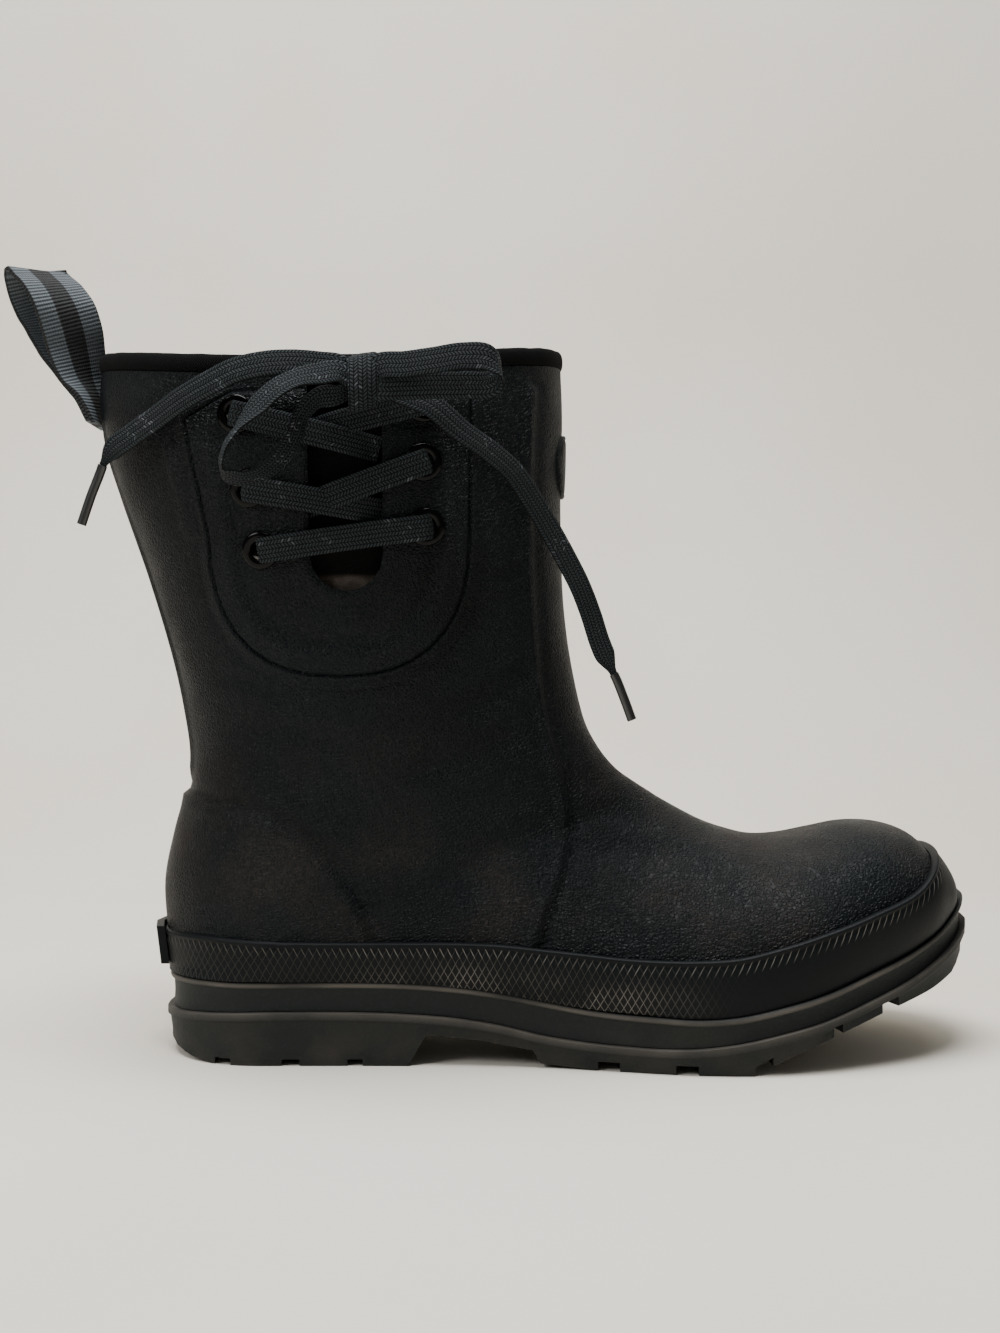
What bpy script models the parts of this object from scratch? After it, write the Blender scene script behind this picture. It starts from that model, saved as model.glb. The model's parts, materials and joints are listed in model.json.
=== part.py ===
"""Lace-up rubber rain boot for the right foot, standing empty on its sole.

+X runs from heel to toe, -Y is the outer side of the foot, which carries the laces, and +Z is up.
The origin is on the floor under the middle of the heel. All lengths are in metres.
The upper is one hollow skin: sections fan out from collar to toe, each cut by a plane through a
point of the front or top line and a point of the back or feather line. Overlays are slices of
thicker skins from the same sections, cut to their outline.
"""

from collections import namedtuple
from functools import lru_cache
from math import asin, cos, pi, radians, sin, sqrt

import bmesh
import bpy
import numpy as np
from mathutils import Vector
from mathutils.bvhtree import BVHTree

MM = 0.001

# Driving sizes
LENGTH = 0.286
HEIGHT = 0.240
BALL_WIDTH = 0.101
SHAFT_WIDTH = 0.105
HEEL_STACK = 0.0283
HEEL_SET = 0.058
WALL = 0.003
GAP = 0.0003

# Sole
LEDGE_HEIGHT = 0.0025
LEDGE_STEP = 0.0008
BAND_RECESS = 0.0022
BEAD_HEIGHT = 0.0022
BEAD_INSET = 0.001
TREAD_DRAFT = 0.0008
HEEL_NOTCH_DEPTH = 0.0022
FORE_NOTCH_DEPTH = 0.003
FEATHER_INSET_HEEL = 0.003
FEATHER_INSET_TOE = 0.0057
INSOLE_THICKNESS = 0.004
INSOLE_MARGIN = 0.0022

# Overlays
FOXING = 0.0022
KICK_TAB = 0.0026
KICK_TAB_WIDTH = 0.026
TAB_RAISE = 0.0022
TAB_RISE = 0.001
PANEL = 0.0013
COUNTER = 0.0011
BACKSTAY = 0.001
BACKSTAY_WIDTH = 0.019
SEAM = 0.001
SEAM_WIDTH = 0.003
SEAM_STOP = 0.002
STRIP = 0.0008
BADGE = 0.0012
BADGE_WIDTH = 0.026
BADGE_HEIGHT = 0.0226
GUSSET = 0.0012
GUSSET_MARGIN = 0.006
BINDING = 0.0044
BINDING_HEIGHT = 0.0063

# Lacing
SLOT_WIDTH = 0.0243
EYELET_WIDTH = 0.0127
EYELET_BORE = 0.0062
EYELET_BARREL = 0.0074
EYELET_RIM = 0.0013
HOLE_CLEARANCE = 0.0003
LACE_WIDTH = 0.0088
LACE_THICKNESS = 0.0014
CORD_DIAMETER = 0.005
KNOT_DIAMETER = 0.010
AGLET_DIAMETER = 0.0034

# Pull loop
WEBBING_WIDTH = 0.022
WEBBING = 0.0016

# Density of the meshes
COLUMNS = 12
SHAFT_SECTIONS = 12
FOOT_SECTIONS = 17
EYELET_SIDES = 10

HEEL_CORNER = 11
REACH = 0.2

Outline = namedtuple("Outline", "share half centre")
SOLE_OUTLINE = [
    Outline(0.00, 0.360, 0.000),
    Outline(0.15, 0.358, 0.000),
    Outline(0.28, 0.352, -0.006),
    Outline(0.40, 0.346, -0.022),
    Outline(0.48, 0.362, -0.028),
    Outline(0.56, 0.412, -0.024),
    Outline(0.64, 0.472, -0.008),
    Outline(0.70, 0.498, 0.008),
    Outline(0.76, 0.500, 0.022),
    Outline(0.86, 0.480, 0.050),
    Outline(1.00, 0.460, 0.072),
]
HEEL_CAP, HEEL_CAP_ROUND = 0.13, 2.1
TOE_CAP, TOE_CAP_ROUND = 0.72, 2.3

# Heights of the sole's side, as shares of HEEL_STACK, along the share of LENGTH
Lines = namedtuple("Lines", "share feather ledge foxing_top")
SIDE_LINES = [
    Lines(0.000, 0.980, 0.530, 1.510),
    Lines(0.056, 1.000, 0.600, 1.544),
    Lines(0.108, 1.000, 0.633, 1.527),
    Lines(0.206, 1.007, 0.647, 1.509),
    Lines(0.304, 0.993, 0.622, 1.505),
    Lines(0.367, 0.947, 0.572, 1.500),
    Lines(0.416, 0.883, 0.495, 1.480),
    Lines(0.465, 0.799, 0.389, 1.431),
    Lines(0.510, 0.728, 0.332, 1.389),
    Lines(0.560, 0.682, 0.304, 1.343),
    Lines(0.605, 0.661, 0.293, 1.325),
    Lines(0.643, 0.647, 0.311, 1.329),
    Lines(0.689, 0.682, 0.371, 1.360),
    Lines(0.741, 0.788, 0.481, 1.481),
    Lines(0.794, 0.922, 0.611, 1.640),
    Lines(0.850, 1.124, 0.806, 1.834),
    Lines(0.916, 1.385, 1.071, 2.113),
    Lines(0.955, 1.602, 1.279, 2.520),
    Lines(0.979, 1.785, 1.430, 2.790),
    Lines(1.000, 1.950, 1.600, 3.000),
]

# Underside: height of the edge and of the tread inside it, as shares of HEEL_STACK
Tread = namedtuple("Tread", "share edge inner")
UNDERSIDE = [
    Tread(0.000, 0.177, 0.177),
    Tread(0.017, 0.106, 0.100),
    Tread(0.042, 0.042, 0.030),
    Tread(0.077, 0.000, 0.000),
    Tread(0.306, 0.000, 0.000),
    Tread(0.328, 0.378, 0.378),
    Tread(0.392, 0.311, 0.311),
    Tread(0.453, 0.205, 0.205),
    Tread(0.461, 0.053, 0.053),
    Tread(0.525, 0.000, 0.000),
    Tread(0.709, 0.000, 0.000),
    Tread(0.741, 0.170, 0.071),
    Tread(0.808, 0.438, 0.318),
    Tread(0.871, 0.664, 0.548),
    Tread(0.937, 0.862, 0.777),
    Tread(0.972, 1.010, 0.970),
    Tread(0.990, 1.200, 1.200),
    Tread(1.000, 1.380, 1.380),
]
NOTCHES = [
    (0.073, 0.093), (0.156, 0.177), (0.234, 0.252), (0.528, 0.553),
    (0.617, 0.643), (0.709, 0.730), (0.804, 0.815), (0.867, 0.888),
]
TREAD_BANDS = (-1.0, -0.42, -0.30, 0.30, 0.42, 1.0)
CHANNELS = ((0.05, 0.30), (0.49, 0.93))
ARCH = (0.306, 0.461)

# Sections of the upper. Front and back points are shares of LENGTH and HEIGHT, half widths are
# shares of SHAFT_WIDTH and BALL_WIDTH, dip is how far the sides hang below the plane, as a share
# of HEIGHT, ridge is the sideways place of the top line, as a share of BALL_WIDTH. From the heel
# corner on, the back point's height is that of the feather line.
Section = namedtuple(
    "Section", "front_x front_z back_x back_z shaft foot widest low_round top_round ridge split dip"
)
SECTIONS = [
    Section(0.490, 1.000, -0.080, 0.992, 0.500, 0.000, 0.50, 2.10, 2.10, 0.000, 0.50, 0.034),
    Section(0.492, 0.925, -0.073, 0.892, 0.488, 0.000, 0.50, 2.10, 2.10, 0.000, 0.50, 0.026),
    Section(0.490, 0.817, -0.053, 0.810, 0.465, 0.000, 0.50, 2.10, 2.10, 0.000, 0.50, 0.013),
    Section(0.492, 0.690, -0.019, 0.692, 0.430, 0.000, 0.49, 2.10, 2.10, 0.000, 0.50, 0.004),
    Section(0.498, 0.608, 0.009, 0.579, 0.402, 0.000, 0.47, 2.10, 2.05, 0.000, 0.50, 0.000),
    Section(0.509, 0.533, 0.024, 0.496, 0.376, 0.000, 0.44, 2.10, 2.00, 0.000, 0.50, 0.000),
    Section(0.521, 0.479, 0.031, 0.429, 0.367, 0.000, 0.41, 2.10, 2.00, 0.004, 0.50, 0.000),
    Section(0.535, 0.446, 0.024, 0.371, 0.183, 0.190, 0.38, 2.10, 2.00, 0.008, 0.51, 0.000),
    Section(0.549, 0.423, 0.012, 0.317, 0.000, 0.381, 0.36, 2.10, 2.00, 0.012, 0.52, 0.000),
    Section(0.563, 0.406, 0.001, 0.250, 0.000, 0.379, 0.34, 2.10, 2.00, 0.016, 0.53, 0.000),
    Section(0.577, 0.394, 0.003, 0.188, 0.000, 0.376, 0.33, 2.10, 2.00, 0.020, 0.54, 0.000),
    Section(0.591, 0.383, 0.010, 0.120, 0.000, 0.372, 0.32, 2.10, 2.00, 0.024, 0.55, 0.000),
    Section(0.595, 0.380, 0.016, 0.000, 0.000, 0.370, 0.31, 2.10, 2.00, 0.025, 0.56, 0.000),
    Section(0.599, 0.377, 0.030, 0.000, 0.000, 0.369, 0.31, 2.10, 2.00, 0.026, 0.56, 0.000),
    Section(0.603, 0.374, 0.052, 0.000, 0.000, 0.368, 0.30, 2.10, 2.00, 0.028, 0.57, 0.000),
    Section(0.609, 0.369, 0.093, 0.000, 0.000, 0.367, 0.30, 2.10, 2.00, 0.030, 0.58, 0.000),
    Section(0.622, 0.360, 0.156, 0.000, 0.000, 0.365, 0.29, 2.10, 2.00, 0.033, 0.59, 0.000),
    Section(0.643, 0.346, 0.280, 0.000, 0.000, 0.365, 0.29, 2.10, 2.00, 0.038, 0.62, 0.000),
    Section(0.668, 0.331, 0.392, 0.000, 0.000, 0.374, 0.30, 2.10, 2.00, 0.044, 0.65, 0.000),
    Section(0.696, 0.319, 0.528, 0.000, 0.000, 0.416, 0.30, 2.10, 2.02, 0.050, 0.68, 0.000),
    Section(0.731, 0.309, 0.643, 0.000, 0.000, 0.456, 0.30, 2.10, 2.05, 0.056, 0.70, 0.000),
    Section(0.769, 0.310, 0.730, 0.000, 0.000, 0.468, 0.31, 2.10, 2.10, 0.060, 0.71, 0.000),
    Section(0.811, 0.319, 0.790, 0.000, 0.000, 0.458, 0.32, 2.10, 2.15, 0.064, 0.71, 0.000),
    Section(0.853, 0.328, 0.840, 0.000, 0.000, 0.430, 0.34, 2.10, 2.20, 0.067, 0.71, 0.000),
    Section(0.895, 0.326, 0.888, 0.000, 0.000, 0.385, 0.36, 2.10, 2.20, 0.070, 0.71, 0.000),
    Section(0.930, 0.311, 0.930, 0.000, 0.000, 0.325, 0.38, 2.10, 2.20, 0.072, 0.71, 0.000),
    Section(0.955, 0.281, 0.951, 0.000, 0.000, 0.253, 0.40, 2.10, 2.20, 0.073, 0.71, 0.000),
    Section(0.973, 0.247, 0.970, 0.000, 0.000, 0.160, 0.42, 2.10, 2.20, 0.073, 0.71, 0.000),
    Section(0.979, 0.215, 0.979, 0.000, 0.000, 0.000, 0.42, 2.10, 2.20, 0.073, 0.71, 0.000),
]

# Outlines on the side, as shares of LENGTH and HEIGHT
COUNTER_LINE = [
    (-0.05, 0.392), (0.024, 0.379), (0.059, 0.367), (0.105, 0.357), (0.145, 0.342), (0.172, 0.328),
    (0.194, 0.308), (0.213, 0.283), (0.231, 0.254), (0.245, 0.227), (0.257, 0.198), (0.262, 0.15),
]
SEAM_LINE = [
    (0.451, 0.955), (0.446, 0.800), (0.450, 0.658), (0.464, 0.490), (0.485, 0.398), (0.491, 0.346),
    (0.484, 0.279), (0.468, 0.229), (0.446, 0.150),
]
BADGE_HEIGHT_SHARE = 0.858

# Lace panel: a U with a round foot, its sides a little apart towards the top
PANEL_MIDDLE = 0.227
PANEL_HALF = 0.151
PANEL_FOOT = 0.551
PANEL_TURN = 0.745
PANEL_TOP = 0.945
PANEL_LEAN_BACK = 0.030
PANEL_ROUND = 2.4
SLOT_MIDDLE = 0.237
SLOT_FOOT = 0.668
PANEL_BACK = PANEL_MIDDLE - PANEL_HALF
STRIP_CORNERS = [
    (PANEL_BACK - 0.056, 0.870), (PANEL_BACK - 0.031, 0.743), (PANEL_BACK - 0.008, 0.743),
    (PANEL_BACK - 0.027, 0.882),
]

Eyelet = namedtuple("Eyelet", "name x z")
EYELETS = [
    Eyelet("eyelet_back_top", 0.113, 0.908),
    Eyelet("eyelet_back_middle", 0.126, 0.808),
    Eyelet("eyelet_back_bottom", 0.138, 0.724),
    Eyelet("eyelet_front_top", 0.326, 0.924),
    Eyelet("eyelet_front_middle", 0.326, 0.844),
    Eyelet("eyelet_front_bottom", 0.329, 0.756),
]

# Laces over the panel: from where they leave the slot, as shares of LENGTH and HEIGHT, to an eyelet
Band = namedtuple("Band", "start_x start_z eyelet level")
LOWER_BANDS = [
    Band(0.196, 0.785, "eyelet_front_middle", 1),
    Band(0.279, 0.775, "eyelet_back_middle", 0),
]
UPPER_BANDS = [
    Band(0.269, 0.862, "eyelet_back_top", 1),
    Band(0.206, 0.886, "eyelet_front_top", 0),
]

# Pull loop, from its sewn foot up: place of its middle as shares of LENGTH and HEIGHT, distance
# between its two strands in webbing thicknesses, turn about the upright in degrees
LoopRow = namedtuple("LoopRow", "x z apart turn")
PULL_LOOP = [
    LoopRow(-0.0890, 0.921, 1.1, 0),
    LoopRow(-0.0960, 0.958, 1.1, 14),
    LoopRow(-0.1090, 0.992, 1.3, 32),
    LoopRow(-0.1210, 1.028, 5.0, 46),
    LoopRow(-0.1310, 1.062, 9.4, 54),
    LoopRow(-0.1420, 1.094, 11.5, 56),
    LoopRow(-0.1510, 1.117, 9.6, 56),
    LoopRow(-0.1600, 1.137, 5.0, 56),
]

# Free laces, in millimetres from the heel's back end, from the boot's middle plane and from the floor
END_BACK = [
    (67.0, -59.9, 231.6), (60.4, -61.8, 232.3), (51.7, -64.0, 232.5), (42.8, -64.6, 231.8),
    (33.9, -63.0, 230.0), (25.0, -59.4, 226.5), (15.6, -53.8, 222.6), (4.8, -46.0, 217.0),
    (-5.2, -40.0, 211.7), (-12.2, -36.0, 207.5), (-15.4, -34.0, 203.0),
]
AGLET_BACK = [(-16.1, -33.7, 201.2), (-19.4, -33.0, 193.3), (-23.0, -32.5, 183.2)]
END_FRONT = [
    (79.7, -58.6, 226.7), (86.5, -59.8, 223.5), (96.1, -60.4, 219.4), (106.2, -56.6, 211.6),
    (115.2, -50.0, 205.9), (122.8, -44.0, 199.9), (129.2, -39.0, 191.1), (135.0, -35.0, 182.0),
    (140.9, -32.0, 171.7), (145.8, -30.0, 162.3), (149.6, -28.0, 152.7), (152.7, -27.0, 143.2),
    (157.5, -26.0, 132.6),
]
AGLET_FRONT = [(157.9, -26.0, 131.8), (161.0, -25.5, 124.3), (163.8, -25.0, 116.8)]
LOOP_BACK = [
    (67.4, -65.7, 229.2), (61.6, -68.0, 228.2), (54.7, -70.5, 226.4), (48.7, -72.5, 223.0),
    (42.9, -73.5, 217.5), (36.6, -73.5, 210.3), (32.1, -72.5, 203.6), (31.3, -71.5, 198.0),
    (35.3, -69.5, 195.1), (41.3, -67.5, 195.9), (48.2, -65.5, 201.1), (53.1, -64.0, 208.9),
    (55.5, -63.0, 216.0), (60.0, -61.5, 221.3), (67.0, -60.9, 222.8),
]
LOOP_FRONT = [
    (79.5, -65.2, 230.7), (88.5, -67.5, 231.2), (98.1, -70.5, 232.0), (107.5, -72.5, 233.0),
    (114.7, -72.5, 232.4), (118.5, -69.5, 229.0), (116.6, -66.5, 225.7), (107.3, -65.0, 225.0),
    (97.9, -64.5, 225.0), (88.0, -64.5, 224.7), (79.5, -64.8, 224.6),
]
KNOT = [(73.5, -60.8, 218.0), (73.5, -61.4, 223.0), (73.5, -62.0, 229.0), (73.5, -61.3, 235.3)]


def finish(name, colour, roughness, metallic=0.0):
    """A material of the given sRGB colour."""
    made = bpy.data.materials.new(name)
    made.use_nodes = True
    shader = made.node_tree.nodes["Principled BSDF"]
    linear = [channel ** 2.2 for channel in colour]
    shader.inputs["Base Color"].default_value = (*linear, 1.0)
    shader.inputs["Roughness"].default_value = roughness
    shader.inputs["Metallic"].default_value = metallic
    return made


def place(name, mesh, coat, sharp=radians(40)):
    """An object in the scene that holds the mesh."""
    mesh.shade_smooth()
    mesh.set_sharp_from_angle(angle=sharp)
    obj = bpy.data.objects.new(name, mesh)
    bpy.context.scene.collection.objects.link(obj)
    if coat:
        mesh.materials.append(coat)
    return obj


def solid(name, points, faces, coat=None):
    """A closed object with its faces pointing out. Points that coincide are merged."""
    mesh = bpy.data.meshes.new(name)
    mesh.from_pydata([tuple(point) for point in points], [], faces)
    shape = bmesh.new()
    shape.from_mesh(mesh)
    bmesh.ops.remove_doubles(shape, verts=shape.verts, dist=1e-6)
    bmesh.ops.dissolve_degenerate(shape, edges=shape.edges, dist=1e-6)
    bmesh.ops.recalc_face_normals(shape, faces=shape.faces)
    shape.to_mesh(mesh)
    shape.free()
    return place(name, mesh, coat)


def guide(obj):
    """Marks a cutter, which is no piece of the boot."""
    obj.hide_render = True
    obj.display_type = "WIRE"
    return obj


def cut(obj, cutter, operation="DIFFERENCE", solver="EXACT"):
    modifier = obj.modifiers.new(f"{operation.lower()} {cutter.name}", "BOOLEAN")
    modifier.operation = operation
    modifier.object = cutter
    modifier.solver = solver


def smooth(at, places, rows):
    """Value at one place of the smooth curve through a table's rows."""
    places = np.asarray(places, float)
    rows = np.asarray(rows, float)
    slopes = np.gradient(rows, places, axis=0)
    index = int(np.clip(np.searchsorted(places, at) - 1, 0, len(places) - 2))
    span = places[index + 1] - places[index]
    t = (at - places[index]) / span
    start = (2 * t**3 - 3 * t**2 + 1) * rows[index] + (t**3 - 2 * t**2 + t) * span * slopes[index]
    end = (3 * t**2 - 2 * t**3) * rows[index + 1] + (t**3 - t**2) * span * slopes[index + 1]
    return start + end


def from_heel(share):
    """X of a share of the length, counted from the heel's back end."""
    return share * LENGTH - HEEL_SET


def share_at(x):
    return (x + HEEL_SET) / LENGTH


def sole_half(share):
    """Half width and middle line of the sole, round at heel and toe."""
    rows = [(row.half, row.centre) for row in SOLE_OUTLINE]
    half, centre = smooth(share, [row.share for row in SOLE_OUTLINE], rows) * BALL_WIDTH
    if share < HEEL_CAP:
        half *= (1 - (1 - share / HEEL_CAP) ** HEEL_CAP_ROUND) ** (1 / HEEL_CAP_ROUND)
    if share > TOE_CAP:
        end = min(1.0, (share - TOE_CAP) / (1 - TOE_CAP))
        half *= (1 - end**TOE_CAP_ROUND) ** (1 / TOE_CAP_ROUND)
    return half, centre


def edge_point(share, side, heel_inset, toe_inset):
    """Point of the sole's outline, moved in by an inset that grows from heel to toe."""
    inset = heel_inset + (toe_inset - heel_inset) * share
    half, centre = sole_half(share)
    if share in (0.0, 1.0):
        return from_heel(share) + (inset if share == 0 else -inset), centre
    step = min(1e-4, share / 2, (1 - share) / 2)
    before, after = sole_half(share - step), sole_half(share + step)
    rise = after[1] - before[1] + side * (after[0] - before[0])
    along = Vector((2 * step * LENGTH, rise)).normalized()
    return from_heel(share) + side * along.y * inset, centre + side * half - side * along.x * inset


def side_line(name, x):
    """Height of one line of the sole's side at x."""
    rows = [getattr(row, name) for row in SIDE_LINES]
    return float(smooth(share_at(x), [row.share for row in SIDE_LINES], rows)) * HEEL_STACK


@lru_cache(maxsize=None)
def feather_stops():
    """Places and heights of the feather edge at the sections' feet."""
    shares = [0.0, *(row.back_x for row in SECTIONS[HEEL_CORNER:]), 1.0]
    stops = [from_heel(share) for share in shares]
    return stops, [side_line("feather", stop) for stop in stops]


def feather_line(x):
    """Height of the edge where upper and midsole meet, straight from one section's foot to the next."""
    return float(np.interp(x, *feather_stops()))


def underside(name, share):
    rows = [getattr(row, name) for row in UNDERSIDE]
    return float(np.interp(share, [row.share for row in UNDERSIDE], rows)) * HEEL_STACK


def feather_half(x):
    """Half width and middle of the feather edge, where upper and midsole meet, at x."""
    shares = 0.5 - 0.5 * np.cos(np.linspace(0, pi, 121))
    sides = []
    for side in (-1, 1):
        edge = [edge_point(share, side, FEATHER_INSET_HEEL, FEATHER_INSET_TOE) for share in shares]
        sides.append(float(np.interp(x, [point[0] for point in edge], [point[1] for point in edge])))
    return (sides[1] - sides[0]) / 2, (sides[1] + sides[0]) / 2


Cut = namedtuple("Cut", "front back wide base widest low_round top_round split dip")


def section_at(row, opened):
    """One section of the upper's outside, between the table's rows."""
    data = Section(*smooth(row, range(len(SECTIONS)), SECTIONS))
    front = Vector((from_heel(data.front_x), data.ridge * BALL_WIDTH, data.front_z * HEIGHT))
    back = Vector((from_heel(data.back_x), 0.0, data.back_z * HEIGHT))
    wide = data.shaft * SHAFT_WIDTH + data.foot * BALL_WIDTH
    base = 0.0
    lowest = feather_line(back.x) + GAP
    if opened:
        base, back.y = feather_half(back.x)
        back.z = lowest
        wide = max(wide, base * 1.01)
    back.z = max(back.z, lowest)
    return Cut(
        front, back, wide, base, data.widest, data.low_round, data.top_round, data.split,
        data.dip * HEIGHT,
    )


def skin_point(section, side, t):
    """Point of a section, from its front or top at t = 0 to its back or feather edge at t = 1."""
    if t <= section.split:
        turn = pi / 2 * t / section.split
        power = 2 / section.top_round
        along = section.widest + (1 - section.widest) * max(0.0, cos(turn)) ** power
        out = section.wide * sin(turn) ** power
    else:
        power = 2 / section.low_round
        opening = max(1e-3, 1 - (section.base / section.wide) ** section.low_round)
        turn = asin(sqrt(opening)) * (t - section.split) / (1 - section.split)
        along = section.widest * (1 - (sin(turn) / sqrt(opening)) ** power)
        out = section.wide * max(0.0, cos(turn)) ** power
    point = section.back.lerp(section.front, along)
    point.y += side * out
    point.z -= section.dip * (out / max(section.wide, 1e-6)) ** 2
    return point


class Skin:
    """The upper's outside as a grid of points, with the outward direction at each."""

    def __init__(self, shaft_sections, foot_sections, columns):
        closed = np.linspace(0, HEEL_CORNER, shaft_sections)
        opened = np.linspace(HEEL_CORNER, len(SECTIONS) - 1, foot_sections + 1)[1:]
        self.rows = len(closed) + len(opened)
        self.corner = len(closed) - 1
        self.columns = columns
        self.points = []
        self.index = {}
        for i, row in enumerate([*closed, *opened]):
            self.add_section(i, row, i > self.corner)
        self.faces = []
        for i in range(self.rows - 1):
            for j in range(-columns, columns):
                corners = [(i, j), (i + 1, j), (i + 1, j + 1), (i, j + 1)]
                if j >= 0:
                    corners = corners[1:] + corners[:1]
                for half in (corners[:3], corners[2:] + corners[:1]):
                    ring = list(dict.fromkeys(self.index[corner] for corner in half))
                    if len(ring) > 2:
                        self.faces.append(ring)
        self.normals = self.directions()

    def add_section(self, i, row, opened):
        if i == self.rows - 1:
            x = from_heel(SECTIONS[-1].back_x)
            self.points.append(Vector((x, feather_half(x)[1], feather_line(x) + GAP)))
            for j in range(-self.columns, self.columns + 1):
                self.index[i, j] = len(self.points) - 1
            return
        section = section_at(row, opened)
        for j in range(-self.columns, self.columns + 1):
            if j == self.columns and not opened:
                self.index[i, j] = self.index[i, -j]
                continue
            self.index[i, j] = len(self.points)
            self.points.append(skin_point(section, 1 if j > 0 else -1, abs(j) / self.columns))

    def directions(self):
        totals = [Vector((0, 0, 0)) for _ in self.points]
        for ring in self.faces:
            corners = [self.points[k] for k in ring]
            normal = Vector((0, 0, 0))
            for first, second in zip(corners[1:], corners[2:]):
                normal += (first - corners[0]).cross(second - corners[0])
            for k in ring:
                totals[k] += normal
        return [total.normalized() for total in totals]

    def edge(self):
        """Indices along the feather edge, from the toe along the outer side to the toe again."""
        outer = [self.index[i, -self.columns] for i in range(self.rows - 1, self.corner - 1, -1)]
        inner = [self.index[i, self.columns] for i in range(self.corner + 1, self.rows)]
        return outer + inner

    def at(self, offset):
        """The points moved out by an offset, with the feather edge kept level on its line."""
        moved = [point + normal * offset for point, normal in zip(self.points, self.normals)]
        edge = set(self.edge())
        for k, point in enumerate(moved):
            lowest = feather_line(point.x) + GAP
            point.z = lowest if k in edge else max(point.z, lowest + GAP)
        return moved

    def shell(self, name, inner, outer, coat=None):
        """A closed shell between two offsets, open at collar and feather edge."""
        count = len(self.points)
        points = self.at(outer) + self.at(inner)
        faces = [*self.faces, *([k + count for k in reversed(ring)] for ring in self.faces)]
        rim = [self.index[0, j] for j in range(-self.columns, self.columns + 1)]
        for line in (rim, self.edge()):
            for a, b in zip(line, line[1:]):
                faces.append([a, b, b + count, a + count])
        return solid(name, points, faces, coat)

    def tree(self, offset):
        return BVHTree.FromPolygons(self.at(offset), self.faces)


def prism(name, outline, low, high):
    """A cutter: a closed outline in X and Z, pulled along Y from low to high."""
    count = len(outline)
    points = [(x, low, z) for x, z in outline] + [(x, high, z) for x, z in outline]
    faces = [list(range(count)), list(range(2 * count - 1, count - 1, -1))]
    faces += [[k, (k + 1) % count, (k + 1) % count + count, k + count] for k in range(count)]
    return guide(solid(name, points, faces))


def on_side(corners):
    return [(from_heel(x), z * HEIGHT) for x, z in corners]


def overlay(name, skin, outline, thickness, coat, low, high, lift=0.0):
    """A slice of the skin, a gap outside the upper, inside a prism."""
    obj = skin.shell(name, GAP + lift, GAP + lift + thickness, coat)
    solver = "MANIFOLD" if lift else "EXACT"
    cut(obj, prism(f"{name}_outline", outline, low, high), "INTERSECT", solver)
    return obj


def ring_solid(name, levels, tops, bottoms, coat):
    """A sole layer from rings of points, closed by a top and a bottom given as index faces."""
    points = [point for level in levels for point in level]
    count = len(levels[0])
    faces = [*tops, *bottoms]
    for low in range(len(levels) - 1):
        for k in range(count):
            after = (k + 1) % count
            faces.append(
                [low * count + k, low * count + after, (low + 1) * count + after, (low + 1) * count + k]
            )
    return solid(name, points, faces, coat)


def layer_shares():
    """Shares of the length that carry the sole's rings, close together at heel and toe."""
    ends = [0.0, 0.006, 0.016, 0.03, 0.052, 0.073]
    middle = [0.093, 0.156, 0.177, 0.234, 0.252, 0.28, 0.306, 0.328, 0.36, 0.392]
    middle += [0.425, 0.453, 0.461, 0.49, 0.528, 0.553, 0.585, 0.617, 0.643, 0.675, 0.709, 0.730]
    toe = [0.76, 0.79, 0.804, 0.815, 0.84, 0.867, 0.888, 0.91, 0.93, 0.951, 0.97, 0.979, 0.99, 1.0]
    return ends + middle + toe


def layer_ring(shares, inset, height):
    """A ring round the sole: out along one side and back along the other."""
    ring = []
    for side, order in ((-1, shares), (1, shares[-2:0:-1])):
        for share in order:
            x, y = edge_point(share, side, inset, inset)
            ring.append((x, y, height(x, share)))
    return ring


def across(shares, offset):
    """Faces that join a ring's two sides, straight across."""
    count = len(shares)
    ring = 2 * count - 2
    faces = []
    for k in range(count - 1):
        corners = [k, k + 1, (ring - k - 1) % ring, (ring - k) % ring]
        faces.append([corner + offset for corner in dict.fromkeys(corners)])
    return faces


def midsole(coat):
    shares = layer_shares()
    seat = GAP
    rim = 0.0004
    levels = [
        (BAND_RECESS, lambda x, s: side_line("ledge", x) + seat),
        (BAND_RECESS, lambda x, s: feather_line(x) - BEAD_HEIGHT),
        (BEAD_INSET, lambda x, s: feather_line(x) - BEAD_HEIGHT + rim),
        (BEAD_INSET, lambda x, s: feather_line(x) - rim),
        (BEAD_INSET + rim, lambda x, s: feather_line(x)),
    ]
    rings = [layer_ring(shares, inset, height) for inset, height in levels]
    count = len(rings[0])
    tops = across(shares, (len(rings) - 1) * count)
    return ring_solid("midsole", rings, tops, across(shares, 0), coat)


def insole(coat):
    shares = layer_shares()
    margin = WALL + INSOLE_MARGIN
    ring_low, ring_high = [], []
    for side, order in ((-1, shares), (1, shares[-2:0:-1])):
        for share in order:
            x, y = edge_point(share, side, FEATHER_INSET_HEEL + margin, FEATHER_INSET_TOE + margin)
            low = feather_line(x) + 1.5 * GAP
            ring_low.append((x, y, low))
            ring_high.append((x, y, low + INSOLE_THICKNESS))
    count = len(ring_low)
    return ring_solid(
        "insole", [ring_low, ring_high], across(shares, count), across(shares, 0), coat
    )


def notch_depth(share):
    return HEEL_NOTCH_DEPTH if share < ARCH[1] else FORE_NOTCH_DEPTH


def is_groove(middle, band):
    """Whether a cell of the underside is cut: cross notches, and two channels along the foot."""
    if any(start < middle < end for start, end in NOTCHES):
        return True
    return band in (1, 3) and any(start < middle < end for start, end in CHANNELS)


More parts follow.
